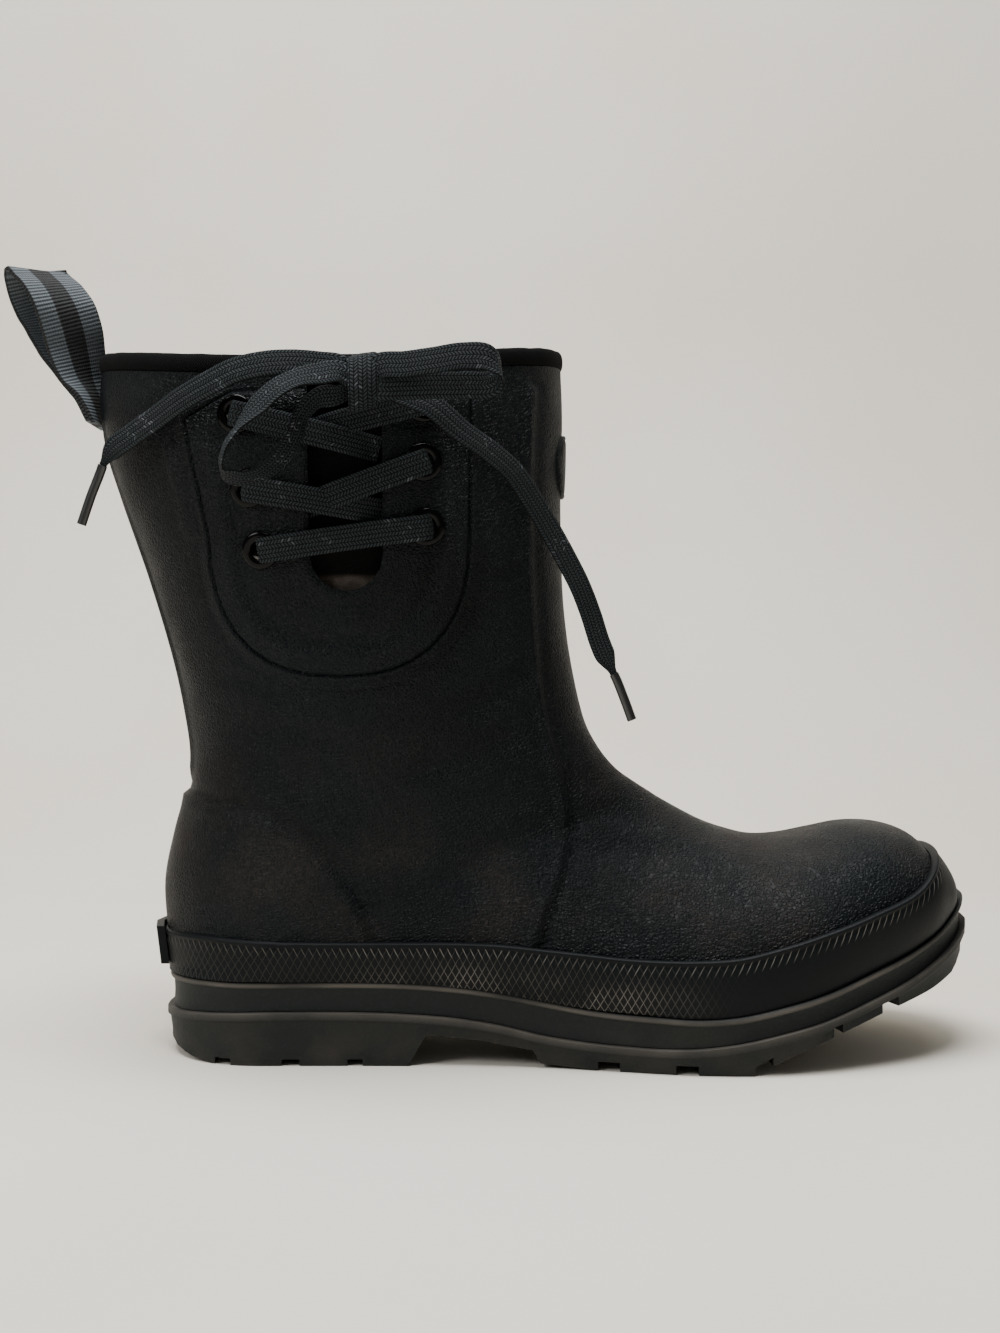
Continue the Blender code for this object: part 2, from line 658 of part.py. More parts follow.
def outsole(coat):
    """Ledge, side and lugs. The underside is a grid of cells, each a lug or a groove."""
    shares = layer_shares()
    bands = len(TREAD_BANDS)
    points, faces = [], []

    def add(point):
        points.append(point)
        return len(points) - 1

    def floor_point(share, fraction, lift):
        x, y = edge_point(share, 1, TREAD_DRAFT * 2, TREAD_DRAFT * 2)
        centre = sole_half(share)[1]
        edge = abs(fraction) == 1.0
        height = underside("edge" if edge else "inner", share)
        roof = underside("edge", share) + notch_depth(share)
        return (x, centre + fraction * (y - centre), roof if lift else height)

    low = [[add(floor_point(s, f, False)) for f in TREAD_BANDS] for s in shares]
    roof = [[add(floor_point(s, f, True)) for f in TREAD_BANDS] for s in shares]
    levels = [
        (LEDGE_STEP, lambda x: side_line("ledge", x) - LEDGE_HEIGHT),
        (0.0, lambda x: side_line("ledge", x) - LEDGE_HEIGHT),
        (0.0, lambda x: side_line("ledge", x)),
    ]
    sides = []
    for inset, height in levels:
        row = []
        for share in shares:
            pair = [edge_point(share, side, inset, inset) for side in (-1, 1)]
            row.append([add((x, y, height(x))) for x, y in pair])
        sides.append(row)

    last = len(shares) - 1
    grooved = [
        [is_groove((shares[k] + shares[k + 1]) / 2, band) for band in range(bands - 1)]
        for k in range(last)
    ]
    for k in range(last):
        for band in range(bands - 1):
            grid = roof if grooved[k][band] else low
            faces.append([grid[k][band], grid[k][band + 1], grid[k + 1][band + 1], grid[k + 1][band]])
            if band and grooved[k][band] != grooved[k][band - 1]:
                faces.append([low[k][band], low[k + 1][band], roof[k + 1][band], roof[k][band]])
            if k and grooved[k][band] != grooved[k - 1][band]:
                faces.append([low[k][band], low[k][band + 1], roof[k][band + 1], roof[k][band]])
        for side, band in ((0, 0), (1, bands - 1)):
            cell = grooved[k][0 if side == 0 else bands - 2]
            if not cell:
                faces.append([low[k][band], low[k + 1][band], roof[k + 1][band], roof[k][band]])
            edges = [[row[band] for row in roof]] + [[pair[side] for pair in row] for row in sides]
            for lower, upper in zip(edges, edges[1:]):
                faces.append([lower[k], lower[k + 1], upper[k + 1], upper[k]])
        faces.append([sides[-1][k][0], sides[-1][k + 1][0], sides[-1][k + 1][1], sides[-1][k][1]])
    return solid("outsole", points, faces, coat)


def superellipse(middle, half, foot, turn, power, steps):
    """The round foot of a U in the side view, from its back side to its front side."""
    line = []
    for k in range(steps + 1):
        angle = pi * k / steps
        x = middle - half * np.sign(cos(angle)) * abs(cos(angle)) ** (2 / power)
        z = turn - (turn - foot) * sin(angle) ** (2 / power)
        line.append((float(x), float(z)))
    return line


def panel_outline():
    line = superellipse(PANEL_MIDDLE, PANEL_HALF, PANEL_FOOT, PANEL_TURN, PANEL_ROUND, 18)
    top = [
        (PANEL_MIDDLE + PANEL_HALF + 0.002, PANEL_TOP),
        (PANEL_MIDDLE, PANEL_TOP),
        (PANEL_MIDDLE - 0.8 * PANEL_HALF, PANEL_TOP - 0.006),
        (PANEL_MIDDLE - PANEL_HALF - PANEL_LEAN_BACK + 0.004, PANEL_TOP - 0.04),
    ]
    return on_side(line + top)


def slot_outline(widen=0.0, drop=0.0):
    """The opening between the panel's two sides, with a round foot, up past the collar."""
    half = SLOT_WIDTH / 2 + widen
    middle = from_heel(SLOT_MIDDLE)
    foot = SLOT_FOOT * HEIGHT - drop
    arc = [pi + pi * k / 8 for k in range(9)]
    line = [(middle + half * cos(a), foot + SLOT_WIDTH / 2 + half * sin(a)) for a in arc]
    top = HEIGHT * 1.2
    return [*line, (middle + half, top), (middle - half, top)]


def ribbon_of_line(line, width):
    """A closed outline of one width along a line in the side view."""
    left, right = [], []
    for k, (x, z) in enumerate(line):
        before, after = line[max(k - 1, 0)], line[min(k + 1, len(line) - 1)]
        along = Vector((after[0] - before[0], after[1] - before[1])).normalized()
        left.append((x - along.y * width / 2, z + along.x * width / 2))
        right.append((x + along.y * width / 2, z - along.x * width / 2))
    return left + right[::-1]


def foxing_top_line():
    shares = [row.share for row in SIDE_LINES]
    return [(from_heel(share), side_line("foxing_top", from_heel(share))) for share in shares]


def foxing_outline():
    line = [(-HEEL_SET - REACH, foxing_top_line()[0][1]), *foxing_top_line()]
    last = line[-1]
    return [*line, (last[0] + REACH, last[1]), (last[0] + REACH, -REACH), (-HEEL_SET - REACH, -REACH)]


def counter_outline():
    top = on_side(COUNTER_LINE)
    floor_line = [
        (x, z + 2 * GAP) for x, z in foxing_top_line() if x < top[-2][0] + MM
    ]
    front = top[-2]
    foot = (front[0], side_line("foxing_top", front[0]) + 2 * GAP)
    top = [point for point in top if point[1] > foot[1]]
    start = (-HEEL_SET - REACH, floor_line[0][1])
    return [(-HEEL_SET - REACH, top[0][1]), *top, foot, *floor_line[::-1], start]


def seam_outline():
    line = [
        point
        for point in on_side(SEAM_LINE)
        if point[1] > side_line("foxing_top", point[0]) + SEAM_WIDTH
    ]
    end = on_side(SEAM_LINE)[-1]
    above = side_line("foxing_top", line[-1][0])
    share = (line[-1][1] - above - SEAM_STOP) / (line[-1][1] - end[1])
    last = (line[-1][0] + (end[0] - line[-1][0]) * share, above + SEAM_STOP)
    return ribbon_of_line([*line, last], SEAM_WIDTH)


def collar_binding(skin, coat):
    """A soft edge band on the rim, with a round top."""
    outer, inner = skin.at(0.0), skin.at(-WALL)
    half = BINDING / 2
    profile = [
        (half * 0.92, 0.0), (half, 0.45), (half * 0.7, 0.9), (0.0, 1.0),
        (-half * 0.7, 0.9), (-half, 0.45), (-half * 0.92, 0.0),
    ]
    rows = []
    for j in range(-skin.columns, skin.columns):
        k = skin.index[0, j]
        middle = (outer[k] + inner[k]) / 2
        base = max(outer[k].z, inner[k].z) + GAP
        out = Vector((skin.normals[k].x, skin.normals[k].y, 0)).normalized()
        rows.append([(*(middle + out * o).xy, base + h * BINDING_HEIGHT) for o, h in profile])
    count, size = len(rows), len(profile)
    points = [point for row in rows for point in row]
    faces = []
    for k in range(count):
        after = (k + 1) % count
        for m in range(size):
            n = (m + 1) % size
            faces.append([k * size + m, after * size + m, after * size + n, k * size + n])
    return solid("collar_binding", points, faces, coat)


def side_hit(tree, x, z):
    """Place where the outer side's skin meets a line along Y."""
    return tree.ray_cast(Vector((x, -REACH, z)), Vector((0, 1, 0)))[0]


def side_frame(tree, x, z, step=4 * MM):
    """Place and outward direction of the outer side at x and z."""
    across_x = side_hit(tree, x + step, z) - side_hit(tree, x - step, z)
    up_z = side_hit(tree, x, z + step) - side_hit(tree, x, z - step)
    return side_hit(tree, x, z), across_x.cross(up_z).normalized()


def eyelet_seats(skin):
    """Each eyelet's centre on the panel's face, its outward axis, and how high its rim must sit."""
    tree = skin.tree(GAP + PANEL)
    seats = {}
    for row in EYELETS:
        place_at, axis = side_frame(tree, from_heel(row.x), row.z * HEIGHT)
        turn = Vector((0, 0, 1)).rotation_difference(axis)
        lift = 0.0
        for k in range(EYELET_SIDES):
            angle = 2 * pi * k / EYELET_SIDES
            rim = turn @ Vector((cos(angle), sin(angle), 0)) * EYELET_WIDTH / 2 + place_at
            hit = tree.ray_cast(rim + axis * 0.01, -axis)[0]
            lift = max(lift, (hit - rim).dot(axis))
        seats[row.name] = (place_at, axis, lift + GAP)
    return seats


def turned(points_2d, place_at, axis, sides):
    """Points and faces of a closed ring turned from a profile of radius and height."""
    turn = Vector((0, 0, 1)).rotation_difference(axis)
    size = len(points_2d)
    points, faces = [], []
    for k in range(sides):
        angle = 2 * pi * k / sides
        for radius, height in points_2d:
            local = Vector((radius * cos(angle), radius * sin(angle), height))
            points.append(turn @ local + place_at)
        after = (k + 1) % sides
        for m in range(size):
            n = (m + 1) % size
            faces.append([k * size + m, after * size + m, after * size + n, k * size + n])
    return points, faces


def eyelets(seats, coat):
    bore, barrel, rim = EYELET_BORE / 2, EYELET_BARREL / 2, EYELET_WIDTH / 2
    depth = PANEL + WALL + 3 * GAP
    for name, (place_at, axis, seat) in seats.items():
        profile = [
            (bore, -depth), (bore, seat + 0.6 * EYELET_RIM), (0.5 * (bore + rim), seat + EYELET_RIM),
            (rim, seat + 0.2 * EYELET_RIM), (barrel, seat), (barrel, -depth),
        ]
        solid(name, *turned(profile, place_at, axis, EYELET_SIDES), coat)


def eyelet_holes(seats):
    """One cutter with a round pin for each eyelet."""
    radius = EYELET_BARREL / 2 + HOLE_CLEARANCE
    points, faces = [], []
    for place_at, axis, _ in seats.values():
        turn = Vector((0, 0, 1)).rotation_difference(axis)
        start = len(points)
        for height in (-0.012, 0.006):
            for k in range(EYELET_SIDES):
                angle = 2 * pi * (k + 0.5) / EYELET_SIDES
                local = Vector((radius * cos(angle), radius * sin(angle), height))
                points.append(turn @ local + place_at)
        ring = list(range(EYELET_SIDES))
        faces.append([start + k for k in reversed(ring)])
        faces.append([start + EYELET_SIDES + k for k in ring])
        for k in ring:
            after = (k + 1) % EYELET_SIDES
            faces.append([start + k, start + after, start + EYELET_SIDES + after, start + EYELET_SIDES + k])
    return guide(solid("eyelet_hole_pins", points, faces))


def lace_band(name, tree, start, end, rise, coat=None, steps=7):
    """A flat lace on the panel between two places in the side view; rise gives its height along."""
    start, end = Vector(start), Vector(end)
    along = (end - start).normalized()
    over = Vector((-along.y, along.x)) * LACE_WIDTH / 2
    points, faces = [], []
    for k in range(steps + 1):
        share = k / steps
        middle = start.lerp(end, share)
        height = rise(share)
        for shift in (-over, over):
            hit = side_hit(tree, *(middle + shift))
            points.append(hit - Vector((0, height, 0)))
            points.append(hit - Vector((0, height + LACE_THICKNESS, 0)))
    for k in range(steps):
        a, b = 4 * k, 4 * (k + 1)
        for m, n in ((0, 1), (1, 3), (3, 2), (2, 0)):
            faces.append([a + m, a + n, b + n, b + m])
    faces.append([0, 1, 3, 2])
    last = 4 * steps
    faces.append([last + 2, last + 3, last + 1, last])
    return solid(name, points, faces, coat)


def crossings(skin, seats, coat):
    """Laces that run over the panel from the slot to the eyelets, joined where they cross."""
    tree = skin.tree(GAP + PANEL)
    over_rim = EYELET_RIM + 3 * GAP + max(seat for _, _, seat in seats.values())
    spot = {row.name: (from_heel(row.x), row.z * HEIGHT) for row in EYELETS}
    for name, bands in (("lace_crossing_lower", LOWER_BANDS), ("lace_crossing_upper", UPPER_BANDS)):
        pieces = []
        for band in bands:
            low = GAP + band.level * (LACE_THICKNESS - GAP)

            def rise(share, low=low):
                return low + (over_rim - low) * min(1.0, share / 0.55)

            start = (from_heel(band.start_x), band.start_z * HEIGHT)
            title = name if not pieces else f"{name}_second"
            pieces.append(lace_band(title, tree, start, spot[band.eyelet], rise, coat))
        guide(pieces[1])
        cut(pieces[0], pieces[1], "UNION")
    lace_band(
        "lace_bar_bottom", tree, spot["eyelet_back_bottom"], spot["eyelet_front_bottom"],
        lambda share: over_rim, coat,
    )


def pull_loop(coat):
    """Webbing sewn at the back of the shaft, twisted and folded over to a loop above the collar."""
    rows = []
    for row in PULL_LOOP:
        turn = radians(row.turn)
        middle = Vector((from_heel(row.x), 0, row.z * HEIGHT))
        apart = Vector((cos(turn), -sin(turn), 0)) * WEBBING
        width = Vector((sin(turn), cos(turn), 0)) * WEBBING_WIDTH / 2
        outer = row.apart / 2 + 0.5
        inner = row.apart / 2 - 0.5
        rows.append((middle, apart, width, outer, inner))
    top_middle, top_apart, top_width, _, _ = rows[-1]
    crown = top_middle + Vector((0, 0, 2.4 * WEBBING)) - Vector((1.4 * WEBBING, 0, 0))
    ceiling = top_middle + Vector((0, 0, 1.3 * WEBBING)) - Vector((0.8 * WEBBING, 0, 0))
    first_open = next(k for k, row in enumerate(PULL_LOOP) if row.apart > 2)
    points, faces = [], []

    def add(place_at, width):
        points.extend([place_at - width, place_at + width])
        return len(points) - 2

    front = [add(m + a * o, w) for m, a, w, o, i in rows]
    rear = [add(m - a * o, w) for m, a, w, o, i in rows]
    crotch = add(rows[first_open - 1][0] + Vector((0, 0, 1.5 * WEBBING)), rows[first_open - 1][2])
    front_in = {k: add(rows[k][0] + rows[k][1] * rows[k][4], rows[k][2]) for k in range(first_open, len(rows))}
    rear_in = {k: add(rows[k][0] - rows[k][1] * rows[k][4], rows[k][2]) for k in range(first_open, len(rows))}
    peak = add(crown, top_width)
    under = add(ceiling, top_width)

    def strip(corners):
        """The two narrow edges of the webbing between the corners."""
        faces.append(list(corners))
        faces.append([corner + 1 for corner in reversed(corners)])

    def wall(a, b):
        faces.append([a, b, b + 1, a + 1])

    last = len(rows) - 1
    for k in range(first_open - 1):
        strip([front[k], front[k + 1], rear[k + 1], rear[k]])
    base = first_open - 1
    strip([front[base], crotch, rear[base]])
    strip([front[base], front[first_open], front_in[first_open], crotch])
    strip([crotch, rear_in[first_open], rear[first_open], rear[base]])
    for k in range(first_open, last):
        strip([front[k], front[k + 1], front_in[k + 1], front_in[k]])
        strip([rear_in[k], rear_in[k + 1], rear[k + 1], rear[k]])
    strip([front[last], peak, under, front_in[last]])
    strip([rear_in[last], under, peak, rear[last]])
    outside = [*front, peak, *rear[::-1]]
    for a, b in zip(outside, outside[1:] + outside[:1]):
        wall(a, b)
    inside = [crotch, *front_in.values(), under, *list(rear_in.values())[::-1]]
    for a, b in zip(inside, inside[1:] + inside[:1]):
        wall(a, b)
    return solid("pull_loop", points, faces, coat)


def boot_point(route_point):
    x, y, z = route_point
    return Vector((x * MM - HEEL_SET, y * MM, z * MM))


def tube(name, route, diameter, coat, spacing=2.5):
    """A round cord along the smooth curve through its route."""
    stops = [boot_point(point) for point in route]
    lengths = np.cumsum([0.0] + [(b - a).length for a, b in zip(stops, stops[1:])])
    count = max(3, round(lengths[-1] / (spacing * diameter)) + 1)
    curve = bpy.data.curves.new(name, "CURVE")
    curve.dimensions = "3D"
    curve.bevel_depth = diameter / 2
    curve.bevel_resolution = 2
    curve.use_fill_caps = True
    spline = curve.splines.new("POLY")
    spline.points.add(count - 1)
    for k in range(count):
        spot = smooth(lengths[-1] * k / (count - 1), lengths, [tuple(stop) for stop in stops])
        spline.points[k].co = (*spot, 1.0)
    obj = bpy.data.objects.new(name, curve)
    bpy.context.scene.collection.objects.link(obj)
    curve.materials.append(coat)
    return obj


def build():
    for obj in list(bpy.data.objects):
        bpy.data.objects.remove(obj)
    rubber = finish("black moulded rubber", (0.13, 0.14, 0.14), 0.55)
    textured = finish("black textured rubber", (0.11, 0.12, 0.12), 0.5)
    sole_rubber = finish("grey sole rubber", (0.23, 0.24, 0.24), 0.7)
    knit = finish("black knit", (0.06, 0.06, 0.06), 0.9)
    felt = finish("insole felt", (0.16, 0.16, 0.16), 0.9)
    cloth = finish("brown gusset cloth", (0.30, 0.25, 0.22), 0.9)
    webbing = finish("striped webbing", (0.25, 0.26, 0.27), 0.85)
    lace = finish("black woven lace", (0.09, 0.09, 0.09), 0.85)
    enamel = finish("black enamelled metal", (0.05, 0.05, 0.05), 0.2, 0.8)
    plastic = finish("black aglet plastic", (0.05, 0.05, 0.05), 0.3)

    skin = Skin(SHAFT_SECTIONS, FOOT_SECTIONS, COLUMNS)
    seats = eyelet_seats(skin)
    pins = eyelet_holes(seats)
    slot = prism("slot_cutter", slot_outline(), -REACH, 0.0)

    outsole(sole_rubber)
    midsole(sole_rubber)
    insole(felt)
    upper = skin.shell("upper", -WALL, 0.0, rubber)
    cut(upper, slot)
    cut(upper, pins)
    gusset = skin.shell("gusset", -WALL - GAP - GUSSET, -WALL - GAP, cloth)
    behind = slot_outline(GUSSET_MARGIN, GUSSET_MARGIN)
    cut(gusset, prism("gusset_outline", behind, -REACH, 0.0), "INTERSECT")

    overlay("foxing", skin, foxing_outline(), FOXING, textured, -REACH, REACH)
    tab_low, tab_high = HEEL_STACK + TAB_RAISE, side_line("foxing_top", -HEEL_SET) + TAB_RISE
    tab = [(-HEEL_SET - REACH, tab_low), (0.0, tab_low), (0.0, tab_high), (-HEEL_SET - REACH, tab_high)]
    half = KICK_TAB_WIDTH / 2
    overlay("heel_kick_tab", skin, tab, KICK_TAB, textured, -half, half, FOXING + 2 * GAP)
    overlay("heel_counter", skin, counter_outline(), COUNTER, rubber, -REACH, REACH)
    stay_low = COUNTER_LINE[0][1] * HEIGHT + 2 * GAP
    stay = [(-HEEL_SET - REACH, stay_low), (0.0, stay_low), (0.0, HEIGHT * 0.96), (-HEEL_SET - REACH, HEIGHT * 0.96)]
    half = BACKSTAY_WIDTH / 2
    overlay("backstay", skin, stay, BACKSTAY, rubber, -half, half)
    overlay("front_seam_outer", skin, seam_outline(), SEAM, rubber, -REACH, 0.0)
    overlay("front_seam_inner", skin, seam_outline(), SEAM, rubber, 0.0, REACH)
    overlay("side_strip", skin, on_side(STRIP_CORNERS), STRIP, rubber, -REACH, 0.0)

    panel = overlay("lace_panel", skin, panel_outline(), PANEL, rubber, -REACH, 0.0)
    cut(panel, slot)
    cut(panel, pins)
    front_badge(skin, rubber)
    collar_binding(skin, knit)
    pull_loop(webbing)
    eyelets(seats, enamel)
    crossings(skin, seats, lace)

    tube("lace_knot", KNOT, KNOT_DIAMETER, lace, 0.6)
    tube("lace_loop_back", LOOP_BACK, CORD_DIAMETER, lace)
    tube("lace_loop_front", LOOP_FRONT, CORD_DIAMETER, lace)
    tube("lace_end_back", END_BACK, CORD_DIAMETER, lace)
    tube("lace_end_front", END_FRONT, CORD_DIAMETER, lace)
    tube("aglet_back", AGLET_BACK, AGLET_DIAMETER, plastic)
    tube("aglet_front", AGLET_FRONT, AGLET_DIAMETER, plastic)


def front_badge(skin, coat):
    """A plain oval plate on the front of the shaft."""
    obj = skin.shell("front_badge", GAP, GAP + BADGE, coat)
    height = BADGE_HEIGHT_SHARE * HEIGHT
    sides = 16
    points, faces = [], []
    for x in (from_heel(0.40), from_heel(0.60)):
        for k in range(sides):
            angle = 2 * pi * k / sides
            points.append((x, BADGE_WIDTH / 2 * cos(angle), height + BADGE_HEIGHT / 2 * sin(angle)))
    faces.append(list(range(sides)))
    faces.append(list(range(2 * sides - 1, sides - 1, -1)))
    faces += [[k, (k + 1) % sides, (k + 1) % sides + sides, k + sides] for k in range(sides)]
    cut(obj, guide(solid("badge_outline", points, faces)), "INTERSECT")
    return obj


build()
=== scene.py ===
"""Looks of the lace-up rubber rain boot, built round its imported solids.

+X runs from heel to toe, -Y is the outer side of the foot, which carries the laces, and +Z is up.
Everything is in metres, in the frame of the solids.
"""

import json
from collections import namedtuple
from functools import lru_cache
from math import asin, atan, cos, pi, radians, sin, sqrt

import bmesh
import bpy
import numpy as np
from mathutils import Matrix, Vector, noise
from mathutils.bvhtree import BVHTree

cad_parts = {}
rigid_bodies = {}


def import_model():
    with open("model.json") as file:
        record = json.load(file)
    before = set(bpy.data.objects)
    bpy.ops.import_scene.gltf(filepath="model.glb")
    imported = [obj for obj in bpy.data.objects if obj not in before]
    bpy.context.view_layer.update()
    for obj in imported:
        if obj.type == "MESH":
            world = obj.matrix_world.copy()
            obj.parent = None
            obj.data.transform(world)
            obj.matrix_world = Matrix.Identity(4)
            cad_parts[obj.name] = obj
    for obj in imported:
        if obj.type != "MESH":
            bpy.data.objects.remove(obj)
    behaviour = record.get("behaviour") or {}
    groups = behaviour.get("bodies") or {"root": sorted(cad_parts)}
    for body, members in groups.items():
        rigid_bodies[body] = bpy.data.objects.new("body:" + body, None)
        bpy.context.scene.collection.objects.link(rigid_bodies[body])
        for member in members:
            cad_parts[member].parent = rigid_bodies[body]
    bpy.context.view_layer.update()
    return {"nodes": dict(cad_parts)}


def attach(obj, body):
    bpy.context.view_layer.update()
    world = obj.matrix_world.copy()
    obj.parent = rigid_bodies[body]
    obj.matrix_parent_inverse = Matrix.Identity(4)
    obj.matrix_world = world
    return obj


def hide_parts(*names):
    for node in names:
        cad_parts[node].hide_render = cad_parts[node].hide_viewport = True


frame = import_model()
NODES = frame["nodes"]


MM = 0.001

# Driving sizes
LENGTH = 0.286
HEIGHT = 0.240
BALL_WIDTH = 0.101
SHAFT_WIDTH = 0.105
HEEL_STACK = 0.0283
HEEL_SET = 0.058
WALL = 0.003
GAP = 0.0003

# Sole
LEDGE_HEIGHT = 0.0025
LEDGE_STEP = 0.0008
BAND_RECESS = 0.0022
BEAD_HEIGHT = 0.0022
BEAD_INSET = 0.001
TREAD_DRAFT = 0.0008
HEEL_NOTCH_DEPTH = 0.0022
FORE_NOTCH_DEPTH = 0.003
FEATHER_INSET_HEEL = 0.003
FEATHER_INSET_TOE = 0.0057
INSOLE_THICKNESS = 0.004
INSOLE_MARGIN = 0.0022

# Overlays
FOXING = 0.0022
KICK_TAB = 0.0026
KICK_TAB_WIDTH = 0.026
TAB_RAISE = 0.0022
TAB_RISE = 0.001
PANEL = 0.0013
COUNTER = 0.0011
BACKSTAY = 0.001
BACKSTAY_WIDTH = 0.019
SEAM = 0.001
SEAM_WIDTH = 0.003
SEAM_STOP = 0.002
STRIP = 0.0008
BADGE = 0.0012
BADGE_WIDTH = 0.026
BADGE_HEIGHT = 0.0226
GUSSET = 0.0012
GUSSET_MARGIN = 0.006
BINDING = 0.0044
BINDING_HEIGHT = 0.0063

# Lacing
SLOT_WIDTH = 0.0243
EYELET_WIDTH = 0.0127
EYELET_BORE = 0.0062
EYELET_BARREL = 0.0074
EYELET_RIM = 0.0013
HOLE_CLEARANCE = 0.0003
LACE_WIDTH = 0.0088
LACE_THICKNESS = 0.0014
CORD_DIAMETER = 0.005
KNOT_DIAMETER = 0.010
AGLET_DIAMETER = 0.0034

# Pull loop
WEBBING_WIDTH = 0.022
WEBBING = 0.0016

# Density of the meshes
COLUMNS = 12
SHAFT_SECTIONS = 12
FOOT_SECTIONS = 17
EYELET_SIDES = 10

HEEL_CORNER = 11
REACH = 0.2

Outline = namedtuple("Outline", "share half centre")
SOLE_OUTLINE = [
    Outline(0.00, 0.360, 0.000),
    Outline(0.15, 0.358, 0.000),
    Outline(0.28, 0.352, -0.006),
    Outline(0.40, 0.346, -0.022),
    Outline(0.48, 0.362, -0.028),
    Outline(0.56, 0.412, -0.024),
    Outline(0.64, 0.472, -0.008),
    Outline(0.70, 0.498, 0.008),
    Outline(0.76, 0.500, 0.022),
    Outline(0.86, 0.480, 0.050),
    Outline(1.00, 0.460, 0.072),
]
HEEL_CAP, HEEL_CAP_ROUND = 0.13, 2.1
TOE_CAP, TOE_CAP_ROUND = 0.72, 2.3

# Heights of the sole's side, as shares of HEEL_STACK, along the share of LENGTH
Lines = namedtuple("Lines", "share feather ledge foxing_top")
SIDE_LINES = [
    Lines(0.000, 0.980, 0.530, 1.510),
    Lines(0.056, 1.000, 0.600, 1.544),
    Lines(0.108, 1.000, 0.633, 1.527),
    Lines(0.206, 1.007, 0.647, 1.509),
    Lines(0.304, 0.993, 0.622, 1.505),
    Lines(0.367, 0.947, 0.572, 1.500),
    Lines(0.416, 0.883, 0.495, 1.480),
    Lines(0.465, 0.799, 0.389, 1.431),
    Lines(0.510, 0.728, 0.332, 1.389),
    Lines(0.560, 0.682, 0.304, 1.343),
    Lines(0.605, 0.661, 0.293, 1.325),
    Lines(0.643, 0.647, 0.311, 1.329),
    Lines(0.689, 0.682, 0.371, 1.360),
    Lines(0.741, 0.788, 0.481, 1.481),
    Lines(0.794, 0.922, 0.611, 1.640),
    Lines(0.850, 1.124, 0.806, 1.834),
    Lines(0.916, 1.385, 1.071, 2.113),
    Lines(0.955, 1.602, 1.279, 2.520),
    Lines(0.979, 1.785, 1.430, 2.790),
    Lines(1.000, 1.950, 1.600, 3.000),
]

# Underside: height of the edge and of the tread inside it, as shares of HEEL_STACK
Tread = namedtuple("Tread", "share edge inner")
UNDERSIDE = [
    Tread(0.000, 0.177, 0.177),
    Tread(0.017, 0.106, 0.100),
    Tread(0.042, 0.042, 0.030),
    Tread(0.077, 0.000, 0.000),
    Tread(0.306, 0.000, 0.000),
    Tread(0.328, 0.378, 0.378),
    Tread(0.392, 0.311, 0.311),
    Tread(0.453, 0.205, 0.205),
    Tread(0.461, 0.053, 0.053),
    Tread(0.525, 0.000, 0.000),
    Tread(0.709, 0.000, 0.000),
    Tread(0.741, 0.170, 0.071),
    Tread(0.808, 0.438, 0.318),
    Tread(0.871, 0.664, 0.548),
    Tread(0.937, 0.862, 0.777),
    Tread(0.972, 1.010, 0.970),
    Tread(0.990, 1.200, 1.200),
    Tread(1.000, 1.380, 1.380),
]
NOTCHES = [
    (0.073, 0.093), (0.156, 0.177), (0.234, 0.252), (0.528, 0.553),
    (0.617, 0.643), (0.709, 0.730), (0.804, 0.815), (0.867, 0.888),
]
TREAD_BANDS = (-1.0, -0.42, -0.30, 0.30, 0.42, 1.0)
CHANNELS = ((0.05, 0.30), (0.49, 0.93))
ARCH = (0.306, 0.461)

